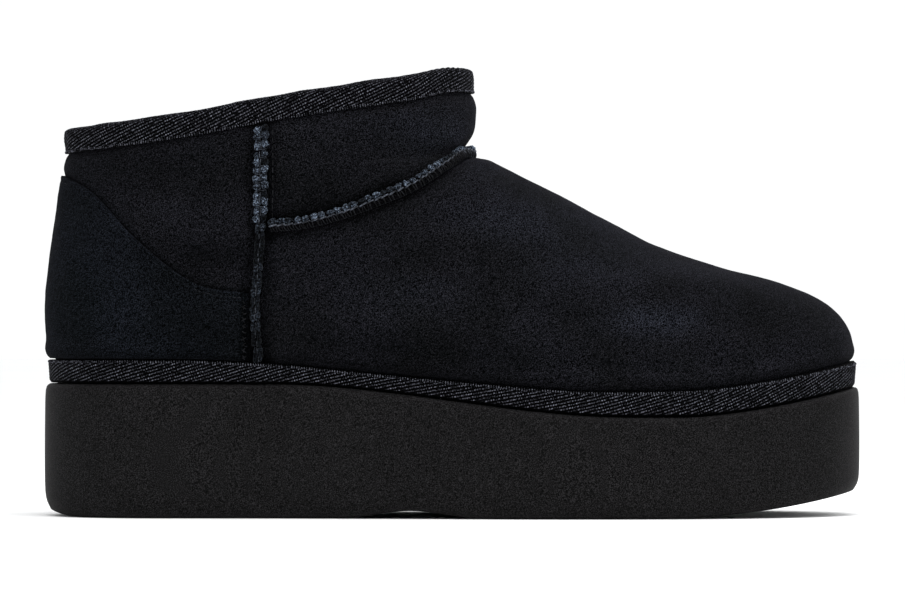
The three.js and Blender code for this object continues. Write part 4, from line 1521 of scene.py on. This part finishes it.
def plate(rings, across, top_height, bottom_height):
    """Stacked rings closed by fine grids, whose inner points lie at the heights of a function."""
    rows, columns = rings.shape[:2]
    half = columns // 2
    pile = Pile()
    pile.add(rings, grid_faces(rows, columns, wrap_columns=True))
    for row, height, upward in ((rows - 1, top_height, True), (0, bottom_height, False)):
        near, far = rings[row, 1:half], rings[row, columns - 1:half:-1]
        share = np.linspace(0, 1, across + 1)[1:-1]
        inside = lerp(near[:, None, :], far[:, None, :], share[None, :, None])
        inside[..., 2] = height(inside)
        index = np.empty((half - 1, across + 1), dtype=int)
        index[:, 0] = row * columns + np.arange(1, half)
        index[:, -1] = row * columns + columns - np.arange(1, half)
        index[:, 1:-1] = pile.count + np.arange(inside[..., 0].size).reshape(inside.shape[:2])
        pile.add(inside, np.zeros((0, 4), dtype=int))
        quads = np.stack([index[:-1, :-1], index[1:, :-1], index[1:, 1:], index[:-1, 1:]], axis=-1)
        quads = quads.reshape(-1, 4)
        pile.faces.extend((quads if upward else quads[:, ::-1]).tolist())
        for tip, line, flip in ((0, index[0], not upward), (half, index[-1], upward)):
            for k in range(across):
                fan = [row * columns + tip, int(line[k]), int(line[k + 1])]
                pile.faces.append(fan[::-1] if flip else fan)
    return pile


def sole_ring(columns, inset, height_at):
    turn = np.arange(columns) / columns
    x, y, _ = ring_plan(sole_form(inset), turn)
    return np.stack([x, y, height_at(x)], axis=-1)


GROOVE_EDGE = 1.15


def groove_mask(points):
    """How deep the tread's grooves are, from 0 to 1, with edges soft enough for the mesh."""
    x, y = points[..., 0], points[..., 1]
    chevron = x - TREAD_SWEEP * (1 - np.abs(y) / (BALL_WIDTH / 2))
    starts = (TREAD_MARGIN + TREAD_PITCH / 2, ARCH_ENDS * SOLE_LENGTH)
    ends = (ARCH_STARTS * SOLE_LENGTH - TREAD_SWEEP, SOLE_LENGTH - TREAD_MARGIN - TREAD_PITCH - TREAD_SWEEP)
    mask = np.zeros(x.shape)
    for start, end in zip(starts, ends):
        phase = (chevron - start) % TREAD_PITCH
        groove = smooth(phase / GROOVE_EDGE) * smooth((TREAD_GROOVE - phase) / GROOVE_EDGE)
        count = np.ceil((end - start) / TREAD_PITCH)
        inside = (chevron > start) & (chevron < start + count * TREAD_PITCH)
        mask = np.maximum(mask, groove * inside)
    form = sole_form(TREAD_MARGIN)
    inner = y > centre_line(x)
    room = half_width(form, x, inner) - np.abs(y - centre_line(x))
    return mask * smooth(room / GROOVE_EDGE) * (x > form["backX"]) * (x < form["frontX"])


def build_platform():
    columns = 480
    levels = np.concatenate([np.linspace(0, 0.14, 10), np.linspace(0.2, 0.85, 8), np.linspace(0.88, 1, 14)])
    rings = np.stack([
        sole_ring(
            columns, EDGE_ROUNDING * float(read_table(PLATFORM_PROFILE, level)),
            lambda x, level=level: lerp(underside(x), seat_height(x), level),
        )
        for level in levels
    ])
    pile = plate(
        rings, 70, lambda points: seat_height(points[..., 0]),
        lambda points: underside(points[..., 0]) + TREAD_DEPTH * groove_mask(points),
    )
    pile.build("platform_foam", foam, "foam", "sole")


# The insole's edge as (height, inset), its curls, and how far they are sunk into its top
INSOLE_PROFILE = ((0.0, 0.3), (1.0, 0.0), (3.6, 0.0), (4.6, 0.7), (5.0, 1.6))
FLEECE_TUFTS = ((1.3, 4.2, 41), (0.8, 2.4, 51))
FLEECE_SUNK = 0.9


def build_insole():
    columns = 320
    inset = FEATHER_INSET + WALL + INSOLE_CLEARANCE
    rings = np.stack([
        sole_ring(columns, inset + rounding, lambda x, level=level: seat_height(x) + GAP + level)
        for level, rounding in INSOLE_PROFILE
    ])

    def fleece(points):
        x, y = points[..., 0], points[..., 1]
        return seat_height(x) + GAP + INSOLE_THICKNESS + tufted(x, y, FLEECE_TUFTS) - FLEECE_SUNK

    pile = plate(rings, 110, fleece, lambda points: seat_height(points[..., 0]) + GAP)
    pile.build("insole_fleece", lining_wool, "wool", "insole")


# Floor, light and camera

def build_stage():
    reach, level = 6.0, -0.15 * MM
    mesh = bpy.data.meshes.new("floor")
    corners = [(-reach, -reach, level), (reach, -reach, level), (reach, reach, level), (-reach, reach, level)]
    mesh.from_pydata(corners, [], [(0, 1, 2, 3)])
    material, tree = new_material("floor_paper")
    finish(tree, ramp(tree, noise_node(tree, 180), (0.3, 0.97), (0.7, 0.985)), roughness=0.8, specular=0.2)
    mesh.materials.append(material)
    floor = place_object("floor", mesh)


def area_light(name, location, target, size, power):
    data = bpy.data.lights.new(name, "AREA")
    data.shape = "RECTANGLE"
    data.size, data.size_y = size
    data.energy = power
    light = place_object(name, data)
    light.location = location
    light.rotation_euler = (Vector(target) - Vector(location)).to_track_quat("-Z", "Y").to_euler()


def build_light():
    world = bpy.data.worlds.new("soft_studio")
    world.use_nodes = True
    background = world.node_tree.nodes["Background"]
    set_inputs(world.node_tree, background, {"Color": (0.985, 0.992, 1.0, 1), "Strength": 1.03})
    bpy.context.scene.world = world
    target = (0.0, 0.0, 0.07)
    area_light("key", (0.2, -0.35, 1.25), target, (1.0, 0.7), 11.0)
    area_light("rim", (0.9, 0.5, 0.7), target, (0.6, 0.8), 3.0)
    bpy.context.scene.view_settings.view_transform = "Standard"


def build_camera():
    """Level with the boot, square to its outer side, as in the photograph."""
    data = bpy.data.cameras.new("camera")
    data.sensor_width = 36.0
    data.lens = 260.0
    view_width = 0.302
    distance = view_width * data.lens / data.sensor_width
    camera = place_object("camera", data)
    camera.location = (0.0, -distance - 0.03, 0.072)
    camera.rotation_euler = (np.pi / 2, 0.0, 0.0)
    bpy.context.scene.camera = camera


build_camera()
build_stage()
build_light()
build_platform()
build_insole()
build_upper()
build_lining()
build_counter()
build_counter_stitches()
build_collar_tape()
build_sole_tape()
loop_row("collar_tape_selvedge", 1.0, collar_loop_ends)
loop_row("sole_tape_selvedge", SOLE_LOOP_RISE, sole_loop_ends)
build_side_seam("side_seam_outer", outer_seam, "side_seam_outer", 61)
build_side_seam("side_seam_inner", inner_seam, "side_seam_inner", 71)
build_vamp_seam()
build_stitch_line("stitch_line_outer", outer_seam)
build_stitch_line("stitch_line_inner", inner_seam)
